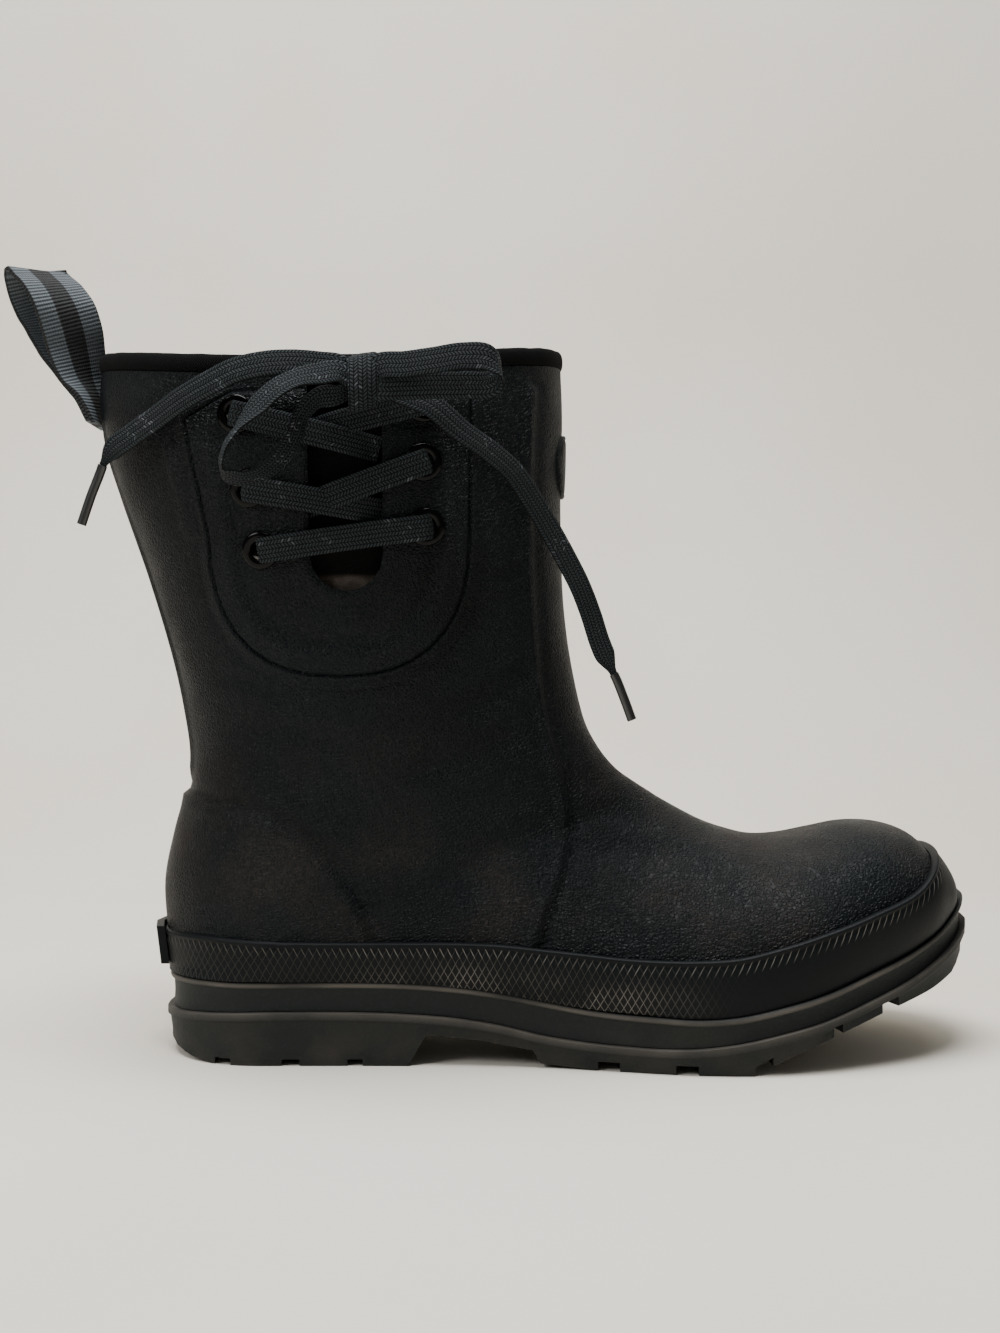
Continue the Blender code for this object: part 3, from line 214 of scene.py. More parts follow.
# Sections of the upper. Front and back points are shares of LENGTH and HEIGHT, half widths are
# shares of SHAFT_WIDTH and BALL_WIDTH, dip is how far the sides hang below the plane, as a share
# of HEIGHT, ridge is the sideways place of the top line, as a share of BALL_WIDTH. From the heel
# corner on, the back point's height is that of the feather line.
Section = namedtuple(
    "Section", "front_x front_z back_x back_z shaft foot widest low_round top_round ridge split dip"
)
SECTIONS = [
    Section(0.490, 1.000, -0.080, 0.992, 0.500, 0.000, 0.50, 2.10, 2.10, 0.000, 0.50, 0.034),
    Section(0.492, 0.925, -0.073, 0.892, 0.488, 0.000, 0.50, 2.10, 2.10, 0.000, 0.50, 0.026),
    Section(0.490, 0.817, -0.053, 0.810, 0.465, 0.000, 0.50, 2.10, 2.10, 0.000, 0.50, 0.013),
    Section(0.492, 0.690, -0.019, 0.692, 0.430, 0.000, 0.49, 2.10, 2.10, 0.000, 0.50, 0.004),
    Section(0.498, 0.608, 0.009, 0.579, 0.402, 0.000, 0.47, 2.10, 2.05, 0.000, 0.50, 0.000),
    Section(0.509, 0.533, 0.024, 0.496, 0.376, 0.000, 0.44, 2.10, 2.00, 0.000, 0.50, 0.000),
    Section(0.521, 0.479, 0.031, 0.429, 0.367, 0.000, 0.41, 2.10, 2.00, 0.004, 0.50, 0.000),
    Section(0.535, 0.446, 0.024, 0.371, 0.183, 0.190, 0.38, 2.10, 2.00, 0.008, 0.51, 0.000),
    Section(0.549, 0.423, 0.012, 0.317, 0.000, 0.381, 0.36, 2.10, 2.00, 0.012, 0.52, 0.000),
    Section(0.563, 0.406, 0.001, 0.250, 0.000, 0.379, 0.34, 2.10, 2.00, 0.016, 0.53, 0.000),
    Section(0.577, 0.394, 0.003, 0.188, 0.000, 0.376, 0.33, 2.10, 2.00, 0.020, 0.54, 0.000),
    Section(0.591, 0.383, 0.010, 0.120, 0.000, 0.372, 0.32, 2.10, 2.00, 0.024, 0.55, 0.000),
    Section(0.595, 0.380, 0.016, 0.000, 0.000, 0.370, 0.31, 2.10, 2.00, 0.025, 0.56, 0.000),
    Section(0.599, 0.377, 0.030, 0.000, 0.000, 0.369, 0.31, 2.10, 2.00, 0.026, 0.56, 0.000),
    Section(0.603, 0.374, 0.052, 0.000, 0.000, 0.368, 0.30, 2.10, 2.00, 0.028, 0.57, 0.000),
    Section(0.609, 0.369, 0.093, 0.000, 0.000, 0.367, 0.30, 2.10, 2.00, 0.030, 0.58, 0.000),
    Section(0.622, 0.360, 0.156, 0.000, 0.000, 0.365, 0.29, 2.10, 2.00, 0.033, 0.59, 0.000),
    Section(0.643, 0.346, 0.280, 0.000, 0.000, 0.365, 0.29, 2.10, 2.00, 0.038, 0.62, 0.000),
    Section(0.668, 0.331, 0.392, 0.000, 0.000, 0.374, 0.30, 2.10, 2.00, 0.044, 0.65, 0.000),
    Section(0.696, 0.319, 0.528, 0.000, 0.000, 0.416, 0.30, 2.10, 2.02, 0.050, 0.68, 0.000),
    Section(0.731, 0.309, 0.643, 0.000, 0.000, 0.456, 0.30, 2.10, 2.05, 0.056, 0.70, 0.000),
    Section(0.769, 0.310, 0.730, 0.000, 0.000, 0.468, 0.31, 2.10, 2.10, 0.060, 0.71, 0.000),
    Section(0.811, 0.319, 0.790, 0.000, 0.000, 0.458, 0.32, 2.10, 2.15, 0.064, 0.71, 0.000),
    Section(0.853, 0.328, 0.840, 0.000, 0.000, 0.430, 0.34, 2.10, 2.20, 0.067, 0.71, 0.000),
    Section(0.895, 0.326, 0.888, 0.000, 0.000, 0.385, 0.36, 2.10, 2.20, 0.070, 0.71, 0.000),
    Section(0.930, 0.311, 0.930, 0.000, 0.000, 0.325, 0.38, 2.10, 2.20, 0.072, 0.71, 0.000),
    Section(0.955, 0.281, 0.951, 0.000, 0.000, 0.253, 0.40, 2.10, 2.20, 0.073, 0.71, 0.000),
    Section(0.973, 0.247, 0.970, 0.000, 0.000, 0.160, 0.42, 2.10, 2.20, 0.073, 0.71, 0.000),
    Section(0.979, 0.215, 0.979, 0.000, 0.000, 0.000, 0.42, 2.10, 2.20, 0.073, 0.71, 0.000),
]

# Outlines on the side, as shares of LENGTH and HEIGHT
COUNTER_LINE = [
    (-0.05, 0.392), (0.024, 0.379), (0.059, 0.367), (0.105, 0.357), (0.145, 0.342), (0.172, 0.328),
    (0.194, 0.308), (0.213, 0.283), (0.231, 0.254), (0.245, 0.227), (0.257, 0.198), (0.262, 0.15),
]
SEAM_LINE = [
    (0.451, 0.955), (0.446, 0.800), (0.450, 0.658), (0.464, 0.490), (0.485, 0.398), (0.491, 0.346),
    (0.484, 0.279), (0.468, 0.229), (0.446, 0.150),
]
BADGE_HEIGHT_SHARE = 0.858

# Lace panel: a U with a round foot, its sides a little apart towards the top
PANEL_MIDDLE = 0.227
PANEL_HALF = 0.151
PANEL_FOOT = 0.551
PANEL_TURN = 0.745
PANEL_TOP = 0.945
PANEL_LEAN_BACK = 0.030
PANEL_ROUND = 2.4
SLOT_MIDDLE = 0.237
SLOT_FOOT = 0.668
PANEL_BACK = PANEL_MIDDLE - PANEL_HALF
STRIP_CORNERS = [
    (PANEL_BACK - 0.056, 0.870), (PANEL_BACK - 0.031, 0.743), (PANEL_BACK - 0.008, 0.743),
    (PANEL_BACK - 0.027, 0.882),
]

Eyelet = namedtuple("Eyelet", "name x z")
EYELETS = [
    Eyelet("eyelet_back_top", 0.113, 0.908),
    Eyelet("eyelet_back_middle", 0.126, 0.808),
    Eyelet("eyelet_back_bottom", 0.138, 0.724),
    Eyelet("eyelet_front_top", 0.326, 0.924),
    Eyelet("eyelet_front_middle", 0.326, 0.844),
    Eyelet("eyelet_front_bottom", 0.329, 0.756),
]

# Laces over the panel: from where they leave the slot, as shares of LENGTH and HEIGHT, to an eyelet
Band = namedtuple("Band", "start_x start_z eyelet level")
LOWER_BANDS = [
    Band(0.196, 0.785, "eyelet_front_middle", 1),
    Band(0.279, 0.775, "eyelet_back_middle", 0),
]
UPPER_BANDS = [
    Band(0.269, 0.862, "eyelet_back_top", 1),
    Band(0.206, 0.886, "eyelet_front_top", 0),
]

# Pull loop, from its sewn foot up: place of its middle as shares of LENGTH and HEIGHT, distance
# between its two strands in webbing thicknesses, turn about the upright in degrees
LoopRow = namedtuple("LoopRow", "x z apart turn")
PULL_LOOP = [
    LoopRow(-0.0890, 0.921, 1.1, 0),
    LoopRow(-0.0960, 0.958, 1.1, 14),
    LoopRow(-0.1090, 0.992, 1.3, 32),
    LoopRow(-0.1210, 1.028, 5.0, 46),
    LoopRow(-0.1310, 1.062, 9.4, 54),
    LoopRow(-0.1420, 1.094, 11.5, 56),
    LoopRow(-0.1510, 1.117, 9.6, 56),
    LoopRow(-0.1600, 1.137, 5.0, 56),
]


# Free laces, in millimetres from the heel's back end, from the boot's middle plane and from the floor
END_BACK = [
    (67.0, -59.9, 231.6), (60.4, -61.8, 232.3), (51.7, -64.0, 232.5), (42.8, -64.6, 231.8),
    (33.9, -63.0, 230.0), (25.0, -59.4, 226.5), (15.6, -53.8, 222.6), (4.8, -46.0, 217.0),
    (-5.2, -40.0, 211.7), (-12.2, -36.0, 207.5), (-15.4, -34.0, 203.0),
]
AGLET_BACK = [(-16.1, -33.7, 201.2), (-19.4, -33.0, 193.3), (-23.0, -32.5, 183.2)]
END_FRONT = [
    (79.7, -58.6, 226.7), (86.5, -59.8, 223.5), (96.1, -60.4, 219.4), (106.2, -56.6, 211.6),
    (115.2, -50.0, 205.9), (122.8, -44.0, 199.9), (129.2, -39.0, 191.1), (135.0, -35.0, 182.0),
    (140.9, -32.0, 171.7), (145.8, -30.0, 162.3), (149.6, -28.0, 152.7), (152.7, -27.0, 143.2),
    (157.5, -26.0, 132.6),
]
AGLET_FRONT = [(157.9, -26.0, 131.8), (161.0, -25.5, 124.3), (163.8, -25.0, 116.8)]
LOOP_BACK = [
    (67.4, -65.7, 229.2), (61.6, -68.0, 228.2), (54.7, -70.5, 226.4), (48.7, -72.5, 223.0),
    (42.9, -73.5, 217.5), (36.6, -73.5, 210.3), (32.1, -72.5, 203.6), (31.3, -71.5, 198.0),
    (35.3, -69.5, 195.1), (41.3, -67.5, 195.9), (48.2, -65.5, 201.1), (53.1, -64.0, 208.9),
    (55.5, -63.0, 216.0), (60.0, -61.5, 221.3), (67.0, -60.9, 222.8),
]
LOOP_FRONT = [
    (79.5, -65.2, 230.7), (88.5, -67.5, 231.2), (98.1, -70.5, 232.0), (107.5, -72.5, 233.0),
    (114.7, -72.5, 232.4), (118.5, -69.5, 229.0), (116.6, -66.5, 225.7), (107.3, -65.0, 225.0),
    (97.9, -64.5, 225.0), (88.0, -64.5, 224.7), (79.5, -64.8, 224.6),
]
KNOT = [(73.5, -60.8, 218.0), (73.5, -61.4, 223.0), (73.5, -62.0, 229.0), (73.5, -61.3, 235.3)]


def linear(hex_colour):
    """An sRGB hex value as linear red, green, blue and alpha."""
    channels = [int(hex_colour[k : k + 2], 16) / 255 for k in (1, 3, 5)]
    return (*(c / 12.92 if c <= 0.04045 else ((c + 0.055) / 1.055) ** 2.4 for c in channels), 1.0)


def add(tree, kind, *inputs, **settings):
    """Adds a node with its settings. Each input is a socket's name or number and a value or a socket."""
    made = tree.nodes.new(f"ShaderNode{kind}")
    for name, value in settings.items():
        setattr(made, name, value)
    for socket, value in inputs:
        if isinstance(value, bpy.types.NodeSocket):
            tree.links.new(value, made.inputs[socket])
        else:
            made.inputs[socket].default_value = value
    return made


def finish(name, roughness, metallic=0.0, **sockets):
    """A material with one shader. Returns the material, its node tree and the shader."""
    material = bpy.data.materials.new(name)
    material.use_nodes = True
    tree = material.node_tree
    tree.nodes.clear()
    values = [("Roughness", roughness), ("Metallic", metallic)]
    values += [(key.replace("_", " "), value) for key, value in sockets.items()]
    shader = add(tree, "BsdfPrincipled", *values)
    add(tree, "OutputMaterial", ("Surface", shader.outputs[0]))
    return material, tree, shader


def blend(tree, share, first, second):
    """Mixes two colours, hex values or sockets, by a share."""
    first, second = (linear(c) if isinstance(c, str) else c for c in (first, second))
    mixed = add(tree, "Mix", (0, share), (6, first), (7, second), data_type="RGBA")
    return mixed.outputs[2]


def ramp(tree, value, low, high, out_low=0.0, out_high=1.0, smooth_step=True):
    """Maps a value's range to another, held at its ends."""
    kind = "SMOOTHSTEP" if smooth_step else "LINEAR"
    made = add(
        tree, "MapRange", (0, value), (1, low), (2, high), (3, out_low), (4, out_high),
        interpolation_type=kind,
    )
    return made.outputs[0]


def maths(tree, operation, *values):
    return add(tree, "Math", *enumerate(values), operation=operation).outputs[0]


def spots(tree, size, detail=2.0, stretch=(1, 1, 1), vector=None):
    """Noise whose blotches are about one size across, in metres."""
    place_at = vector or add(tree, "TexCoord").outputs["Object"]
    place_at = add(tree, "VectorMath", (0, place_at), (1, stretch), operation="MULTIPLY").outputs[0]
    return add(tree, "TexNoise", ("Vector", place_at), ("Scale", 1 / size), ("Detail", detail)).outputs[0]


def bump(tree, shader, height, depth, strength=1.0, under=None):
    """Gives the shader a relief of one depth in metres."""
    inputs = [("Height", height), ("Distance", depth), ("Strength", strength)]
    if under:
        inputs.append(("Normal", under))
    made = add(tree, "Bump", *inputs)
    tree.links.new(made.outputs[0], shader.inputs["Normal"])
    return made.outputs[0]


def colour(tree, shader, socket):
    tree.links.new(socket, shader.inputs["Base Color"])


def grained_rubber(name, base, dusty):
    """Vulcanised rubber from a grained mould: near black with a cool cast, a broad soft gloss on
    the tops of fine leather-like wrinkles, and faint brown dust over the bend of the foot."""
    material, tree, shader = finish(name, 0.5, Specular_IOR_Level=0.13)
    where = add(tree, "TexCoord").outputs["Object"]
    height = add(tree, "SeparateXYZ", (0, where)).outputs[2]
    # Grain cells of about 1 mm with finer wrinkles across them
    wander = add(
        tree, "VectorMath", (0, add(tree, "TexNoise", ("Vector", where), ("Scale", 1 / 0.004)).outputs[1]),
        (1, (0.0014, 0.0014, 0.0014)), operation="MULTIPLY",
    ).outputs[0]
    bent = add(tree, "VectorMath", (0, where), (1, wander), operation="ADD").outputs[0]
    cells = add(
        tree, "TexVoronoi", ("Vector", bent), ("Scale", 1 / 0.0012), feature="DISTANCE_TO_EDGE",
    ).outputs[0]
    wrinkles = spots(tree, 0.0011, 2.0, (1.0, 1.0, 0.55))
    grain = maths(tree, "ADD", ramp(tree, cells, 0.0, 0.3), maths(tree, "MULTIPLY", wrinkles, 1.1))
    soft = bump(tree, shader, spots(tree, 0.03, 1.0), 0.0012, 0.3)
    bump(tree, shader, grain, 0.0003, 0.9, soft)
    cloud = ramp(tree, spots(tree, 0.034, 4.0), 0.38, 0.7)
    low = maths(tree, "MULTIPLY", ramp(tree, height, 0.135, 0.062), ramp(tree, height, 0.02, 0.05))
    fine = ramp(tree, spots(tree, 0.0011, 3.0), 0.35, 0.75, 0.25, 1.0)
    dust = maths(tree, "MULTIPLY", maths(tree, "MULTIPLY", cloud, low), maths(tree, "MULTIPLY", fine, dusty))
    tone = blend(tree, ramp(tree, spots(tree, 0.05, 3.0), 0.3, 0.7), base, "#05080a")
    colour(tree, shader, blend(tree, dust, tone, "#453b35"))
    rough = ramp(tree, spots(tree, 0.018, 4.0), 0.25, 0.75, 0.44, 0.56)
    tree.links.new(maths(tree, "ADD", rough, maths(tree, "MULTIPLY", dust, 0.2)), shader.inputs["Roughness"])
    return material


def knurled_rubber():
    """Moulded rubber band with a raised lattice, 2.6 mm wide and 4.5 mm high a cell, whose lines are
    worn paler: sharp strokes under the top edge, a dusty lattice at the waist, smooth by the toe."""
    material, tree, shader = finish("knurled rubber", 0.52, Specular_IOR_Level=0.12)
    where = add(tree, "SeparateXYZ", (0, add(tree, "TexCoord").outputs["Object"]))
    along, down = (add(tree, "SeparateXYZ", (0, add(tree, "TexCoord").outputs["UV"])).outputs[k] for k in (0, 1))
    lines = []
    for side in (1, -1):
        share = maths(tree, "ADD", maths(tree, "DIVIDE", along, 0.0026), maths(tree, "DIVIDE", down, side * 0.0045))
        lines.append(ramp(tree, maths(tree, "PINGPONG", share, 0.5), 0.11, 0.02))
    fore = ramp(tree, where.outputs[0], 0.058, 0.062)
    slanted = maths(
        tree, "ADD", maths(tree, "MULTIPLY", lines[1], fore),
        maths(tree, "MULTIPLY", lines[0], maths(tree, "SUBTRACT", 1.0, fore)),
    )
    lattice = maths(tree, "MAXIMUM", *lines)
    edge = maths(tree, "MULTIPLY", ramp(tree, down, 0.0016, 0.0022), ramp(tree, down, 0.0060, 0.0034))
    toe = ramp(tree, where.outputs[0], 0.150, 0.085)
    body = maths(tree, "MULTIPLY", ramp(tree, down, 0.0016, 0.0030), toe)
    relief = maths(
        tree, "MAXIMUM", maths(tree, "MULTIPLY", slanted, edge),
        maths(tree, "MULTIPLY", lattice, maths(tree, "MULTIPLY", body, 0.8)),
    )
    bump(tree, shader, maths(tree, "ADD", relief, maths(tree, "MULTIPLY", spots(tree, 0.0007, 2.0), 0.25)), 0.0004, 0.9)
    cloud = ramp(tree, spots(tree, 0.016, 4.0), 0.36, 0.68)
    waist = maths(
        tree, "MULTIPLY", ramp(tree, where.outputs[0], -0.005, 0.06), ramp(tree, where.outputs[0], 0.15, 0.09)
    )
    low = ramp(tree, down, 0.004, 0.012)
    dusty = maths(tree, "MULTIPLY", maths(tree, "MULTIPLY", waist, low), cloud)
    strokes = maths(tree, "MULTIPLY", maths(tree, "MULTIPLY", slanted, edge), ramp(tree, cloud, 0.0, 1.0, 0.3, 0.62))
    net = maths(
        tree, "MULTIPLY", maths(tree, "MULTIPLY", lattice, body),
        ramp(tree, dusty, 0.0, 1.0, 0.09, 0.62, smooth_step=False),
    )
    base = blend(tree, maths(tree, "MULTIPLY", dusty, 0.10), "#080c0e", "#3a342f")
    colour(tree, shader, blend(tree, maths(tree, "MAXIMUM", strokes, net), base, "#918d86"))
    return material


def sole_rubber():
    """Sole rubber: dark grey, dry and grainy, taupe along its worn rims and faintly brown low down."""
    material, tree, shader = finish("moulded sole rubber", 0.62, Specular_IOR_Level=0.2)
    height = add(tree, "SeparateXYZ", (0, add(tree, "TexCoord").outputs["Object"])).outputs[2]
    rim = add(tree, "Attribute", attribute_name="raised").outputs["Fac"]
    cloud = ramp(tree, spots(tree, 0.02, 5.0), 0.32, 0.72)
    specks = ramp(tree, spots(tree, 0.0009, 2.0), 0.45, 0.75)
    low = ramp(tree, height, 0.020, 0.002)
    base = blend(tree, maths(tree, "MULTIPLY", specks, 0.3), "#181c1c", "#2a2c2b")
    base = blend(tree, maths(tree, "MULTIPLY", maths(tree, "MULTIPLY", low, cloud), 0.35), base, "#463f38")
    edge = maths(tree, "MULTIPLY", ramp(tree, rim, 0.2, 0.9), ramp(tree, spots(tree, 0.03, 3.0), 0.3, 0.7, 0.15, 0.75))
    colour(tree, shader, blend(tree, edge, base, "#5c5751"))
    fine = maths(tree, "ADD", spots(tree, 0.0008, 3.0), maths(tree, "MULTIPLY", spots(tree, 0.004, 2.0), 0.5))
    bump(tree, shader, fine, 0.00022, 0.7)
    return material


def edge_knit():
    """Neoprene edge tape in a fine knit: dead black, with tight ribs that run round the fold."""
    material, tree, shader = finish("knitted edge tape", 0.95, Specular_IOR_Level=0.1)
    where = add(tree, "TexCoord").outputs["UV"]
    # Stitches of 0.9 by 0.6 mm
    cells = add(tree, "SeparateXYZ", (0, where))
    along = maths(tree, "SINE", maths(tree, "MULTIPLY", cells.outputs[0], 2 * pi / 0.0009))
    across = maths(tree, "SINE", maths(tree, "MULTIPLY", cells.outputs[1], 2 * pi / 0.0012))
    knit = maths(tree, "MULTIPLY", along, across)
    colour(tree, shader, blend(tree, ramp(tree, knit, -0.4, 1.0, 0.0, 0.7), "#060607", "#101112"))
    bump(tree, shader, knit, 0.00018, 0.7)
    return material


def braided_lace():
    """Flat braided polyester lace: black, with slanted strands in lengthwise ribs and a few paler
    flecks that run with the strands."""
    material, tree, shader = finish("flat braided lace", 0.72, Specular_IOR_Level=0.12)
    where = add(tree, "SeparateXYZ", (0, add(tree, "TexCoord").outputs["UV"]))
    # Six ribs of 1.45 mm; strands every 1.1 mm lean one way on a rib and back on the next
    rib = maths(tree, "DIVIDE", where.outputs[1], 0.00145)
    lean = maths(tree, "PINGPONG", rib, 1.0)
    along = maths(tree, "DIVIDE", where.outputs[0], 0.0011)
    strand = maths(tree, "ADD", along, maths(tree, "MULTIPLY", lean, 0.9))
    ridge_up = ramp(tree, maths(tree, "PINGPONG", strand, 0.5), 0.0, 0.4)
    groove = ramp(tree, maths(tree, "PINGPONG", rib, 0.5), 0.02, 0.2)
    weave = maths(tree, "MULTIPLY", ridge_up, groove)
    cell = add(
        tree, "CombineXYZ", (0, maths(tree, "FLOOR", strand)), (1, maths(tree, "FLOOR", rib)),
    ).outputs[0]
    luck = add(tree, "TexWhiteNoise", ("Vector", cell)).outputs[0]
    run = ramp(tree, spots(tree, 0.012, 2.0), 0.52, 0.62)
    fleck = maths(tree, "MULTIPLY", ramp(tree, luck, 0.78, 0.95), maths(tree, "MULTIPLY", weave, run))
    tone = blend(tree, weave, "#010202", "#2a3033")
    colour(tree, shader, blend(tree, maths(tree, "MULTIPLY", fleck, 0.6), tone, "#60646a"))
    bump(tree, shader, weave, 0.0004, 0.9)
    return material


def striped_webbing():
    """Woven polyester webbing in lengthwise stripes of grey, black and grey, with cross ribs."""
    material, tree, shader = finish("striped webbing", 0.8, Specular_IOR_Level=0.3)
    where = add(tree, "SeparateXYZ", (0, add(tree, "TexCoord").outputs["UV"]))
    across = maths(tree, "ABSOLUTE", where.outputs[1])
    rib = maths(tree, "SINE", maths(tree, "MULTIPLY", where.outputs[0], 2 * pi / 0.0013))
    warp = maths(tree, "SINE", maths(tree, "MULTIPLY", where.outputs[1], 2 * pi / 0.0009))
    weave = maths(tree, "ADD", maths(tree, "MULTIPLY", rib, 0.7), maths(tree, "MULTIPLY", warp, 0.3))
    grey = blend(tree, ramp(tree, weave, -0.7, 0.8), "#31363a", "#5a6166")
    black = blend(tree, ramp(tree, weave, -0.7, 0.8), "#0c0d0e", "#1e2022")
    stripe = ramp(tree, across, 0.0034, 0.0040)
    rim = ramp(tree, across, 0.0103, 0.0107)
    colour(tree, shader, blend(tree, rim, blend(tree, stripe, black, grey), black))
    bump(tree, shader, weave, 0.00022, 0.8)
    return material


def black_enamel():
    """Brass eyelets dipped in black enamel: glossy, with a thin clear skin that gives sharp glints."""
    material, tree, shader = finish(
        "black enamelled brass", 0.12, Specular_IOR_Level=0.09, Coat_Weight=0.06, Coat_Roughness=0.03
    )
    # Paler spots where the enamel is worn
    mottle = ramp(tree, spots(tree, 0.0012, 3.0), 0.62, 0.8, 0.0, 0.35)
    colour(tree, shader, blend(tree, mottle, "#040404", "#121110"))
    return material


def tip_film():
    """Heat-shrunk film round the lace ends: black, smooth, with faint creases."""
    material, tree, shader = finish("lace tip film", 0.34, Coat_Weight=0.3, Coat_Roughness=0.2)
    crease = spots(tree, 0.0012, 2.0, (1, 1, 0.3))
    colour(tree, shader, blend(tree, crease, "#0b0b0c", "#161617"))
    bump(tree, shader, crease, 0.0001, 0.5)
    return material


def gusset_nylon():
    """Plain woven nylon behind the laces, taupe, with fine crossed threads, painted brown-black above its foot as the
    lace bar's shadow.
    """
    material, tree, shader = finish("woven nylon", 0.9, Specular_IOR_Level=0.1)
    where = add(tree, "SeparateXYZ", (0, add(tree, "TexCoord").outputs["Object"]))
    # Threads of 0.5 mm
    weft = maths(tree, "SINE", maths(tree, "MULTIPLY", where.outputs[2], 2 * pi / 0.0010))
    warp = maths(tree, "SINE", maths(tree, "MULTIPLY", where.outputs[0], 2 * pi / 0.0010))
    weave = maths(tree, "MULTIPLY", weft, warp)
    # Painted shadow: the near-black weave stands for the shade the lace bar casts on the taupe nylon
    tone = blend(tree, ramp(tree, weave, -0.6, 0.8), "#050505", "#0c0b0b")
    # Its own taupe shows only at its foot, where it is sewn to the slot; higher up it is painted near black as the
    # shadow of the lace bar
    foot = ramp(tree, where.outputs[2], 0.1665, 0.1640)
    mottle = blend(tree, ramp(tree, spots(tree, 0.006, 3.0), 0.3, 0.7), "#3a3531", "#59524b")
    colour(tree, shader, blend(tree, foot, tone, mottle))
    bump(tree, shader, weave, 0.00015, 0.6)
    return material


def brushed_felt():
    """Needled polyester felt on the insole: grey-black, fibrous and dull."""
    material, tree, shader = finish("needled felt", 0.95, Sheen_Weight=0.4, Sheen_Roughness=0.6)
    fibre = spots(tree, 0.0009, 5.0, (0.5, 1, 1))
    colour(tree, shader, blend(tree, ramp(tree, fibre, 0.3, 0.7), "#17181a", "#303235"))
    bump(tree, shader, fibre, 0.0004, 0.8)
    return material


def matt_paint(name, tone, roughness):
    """Emulsion paint on a flat board: even and dull."""
    material, tree, shader = finish(name, roughness, Specular_IOR_Level=0.3)
    colour(tree, shader, blend(tree, ramp(tree, spots(tree, 0.3, 2.0), 0.3, 0.7, 0.0, 0.15), tone, "#ffffff"))
    return material


def guide(obj):
    """Marks a cutter, which is no piece of the boot."""
    obj.hide_render = True
    obj.display_type = "WIRE"
    return obj


def cut(obj, cutter, operation="DIFFERENCE", solver="EXACT"):
    modifier = obj.modifiers.new(f"{operation.lower()} {cutter.name}", "BOOLEAN")
    modifier.operation = operation
    modifier.object = cutter
    modifier.solver = solver


def smooth(at, places, rows):
    """Value at one place of the smooth curve through a table's rows."""
    places = np.asarray(places, float)
    rows = np.asarray(rows, float)
    slopes = np.gradient(rows, places, axis=0)
    index = int(np.clip(np.searchsorted(places, at) - 1, 0, len(places) - 2))
    span = places[index + 1] - places[index]
    t = (at - places[index]) / span
    start = (2 * t**3 - 3 * t**2 + 1) * rows[index] + (t**3 - 2 * t**2 + t) * span * slopes[index]
    end = (3 * t**2 - 2 * t**3) * rows[index + 1] + (t**3 - t**2) * span * slopes[index + 1]
    return start + end


def from_heel(share):
    """X of a share of the length, counted from the heel's back end."""
    return share * LENGTH - HEEL_SET


def share_at(x):
    return (x + HEEL_SET) / LENGTH


def sole_half(share):
    """Half width and middle line of the sole, round at heel and toe."""
    rows = [(row.half, row.centre) for row in SOLE_OUTLINE]
    half, centre = smooth(share, [row.share for row in SOLE_OUTLINE], rows) * BALL_WIDTH
    if share < HEEL_CAP:
        half *= (1 - (1 - share / HEEL_CAP) ** HEEL_CAP_ROUND) ** (1 / HEEL_CAP_ROUND)
    if share > TOE_CAP:
        end = min(1.0, (share - TOE_CAP) / (1 - TOE_CAP))
        half *= (1 - end**TOE_CAP_ROUND) ** (1 / TOE_CAP_ROUND)
    return half, centre


def edge_point(share, side, heel_inset, toe_inset):
    """Point of the sole's outline, moved in by an inset that grows from heel to toe."""
    inset = heel_inset + (toe_inset - heel_inset) * share
    half, centre = sole_half(share)
    if share in (0.0, 1.0):
        return from_heel(share) + (inset if share == 0 else -inset), centre
    step = min(1e-4, share / 2, (1 - share) / 2)
    before, after = sole_half(share - step), sole_half(share + step)
    rise = after[1] - before[1] + side * (after[0] - before[0])
    along = Vector((2 * step * LENGTH, rise)).normalized()
    return from_heel(share) + side * along.y * inset, centre + side * half - side * along.x * inset


def side_line(name, x):
    """Height of one line of the sole's side at x."""
    rows = [getattr(row, name) for row in SIDE_LINES]
    return float(smooth(share_at(x), [row.share for row in SIDE_LINES], rows)) * HEEL_STACK


@lru_cache(maxsize=None)
def feather_stops():
    """Places and heights of the feather edge at the sections' feet."""
    shares = np.linspace(0, 1, 160)
    stops = [from_heel(share) for share in shares]
    return stops, [side_line("feather", stop) for stop in stops]


def feather_line(x):
    """Height of the edge where upper and midsole meet, read from its table."""
    return float(np.interp(x, *feather_stops()))


def underside(name, share):
    rows = [getattr(row, name) for row in UNDERSIDE]
    return float(np.interp(share, [row.share for row in UNDERSIDE], rows)) * HEEL_STACK


def feather_half(x):
    """Half width and middle of the feather edge, where upper and midsole meet, at x."""
    shares = 0.5 - 0.5 * np.cos(np.linspace(0, pi, 121))
    sides = []
    for side in (-1, 1):
        edge = [edge_point(share, side, FEATHER_INSET_HEEL, FEATHER_INSET_TOE) for share in shares]
        sides.append(float(np.interp(x, [point[0] for point in edge], [point[1] for point in edge])))
    return (sides[1] - sides[0]) / 2, (sides[1] + sides[0]) / 2


Cut = namedtuple("Cut", "front back wide base widest low_round top_round split dip")


def section_at(row, opened):
    """One section of the upper's outside, between the table's rows."""
    data = Section(*smooth(row, range(len(SECTIONS)), SECTIONS))
    front = Vector((from_heel(data.front_x), data.ridge * BALL_WIDTH, data.front_z * HEIGHT))
    back = Vector((from_heel(data.back_x), 0.0, data.back_z * HEIGHT))
    wide = data.shaft * SHAFT_WIDTH + data.foot * BALL_WIDTH
    base = 0.0
    lowest = feather_line(back.x) + GAP
    if opened:
        base, back.y = feather_half(back.x)
        back.z = lowest
        wide = max(wide, base * 1.01)
    back.z = max(back.z, lowest)
    return Cut(
        front, back, wide, base, data.widest, data.low_round, data.top_round, data.split,
        data.dip * HEIGHT,
    )


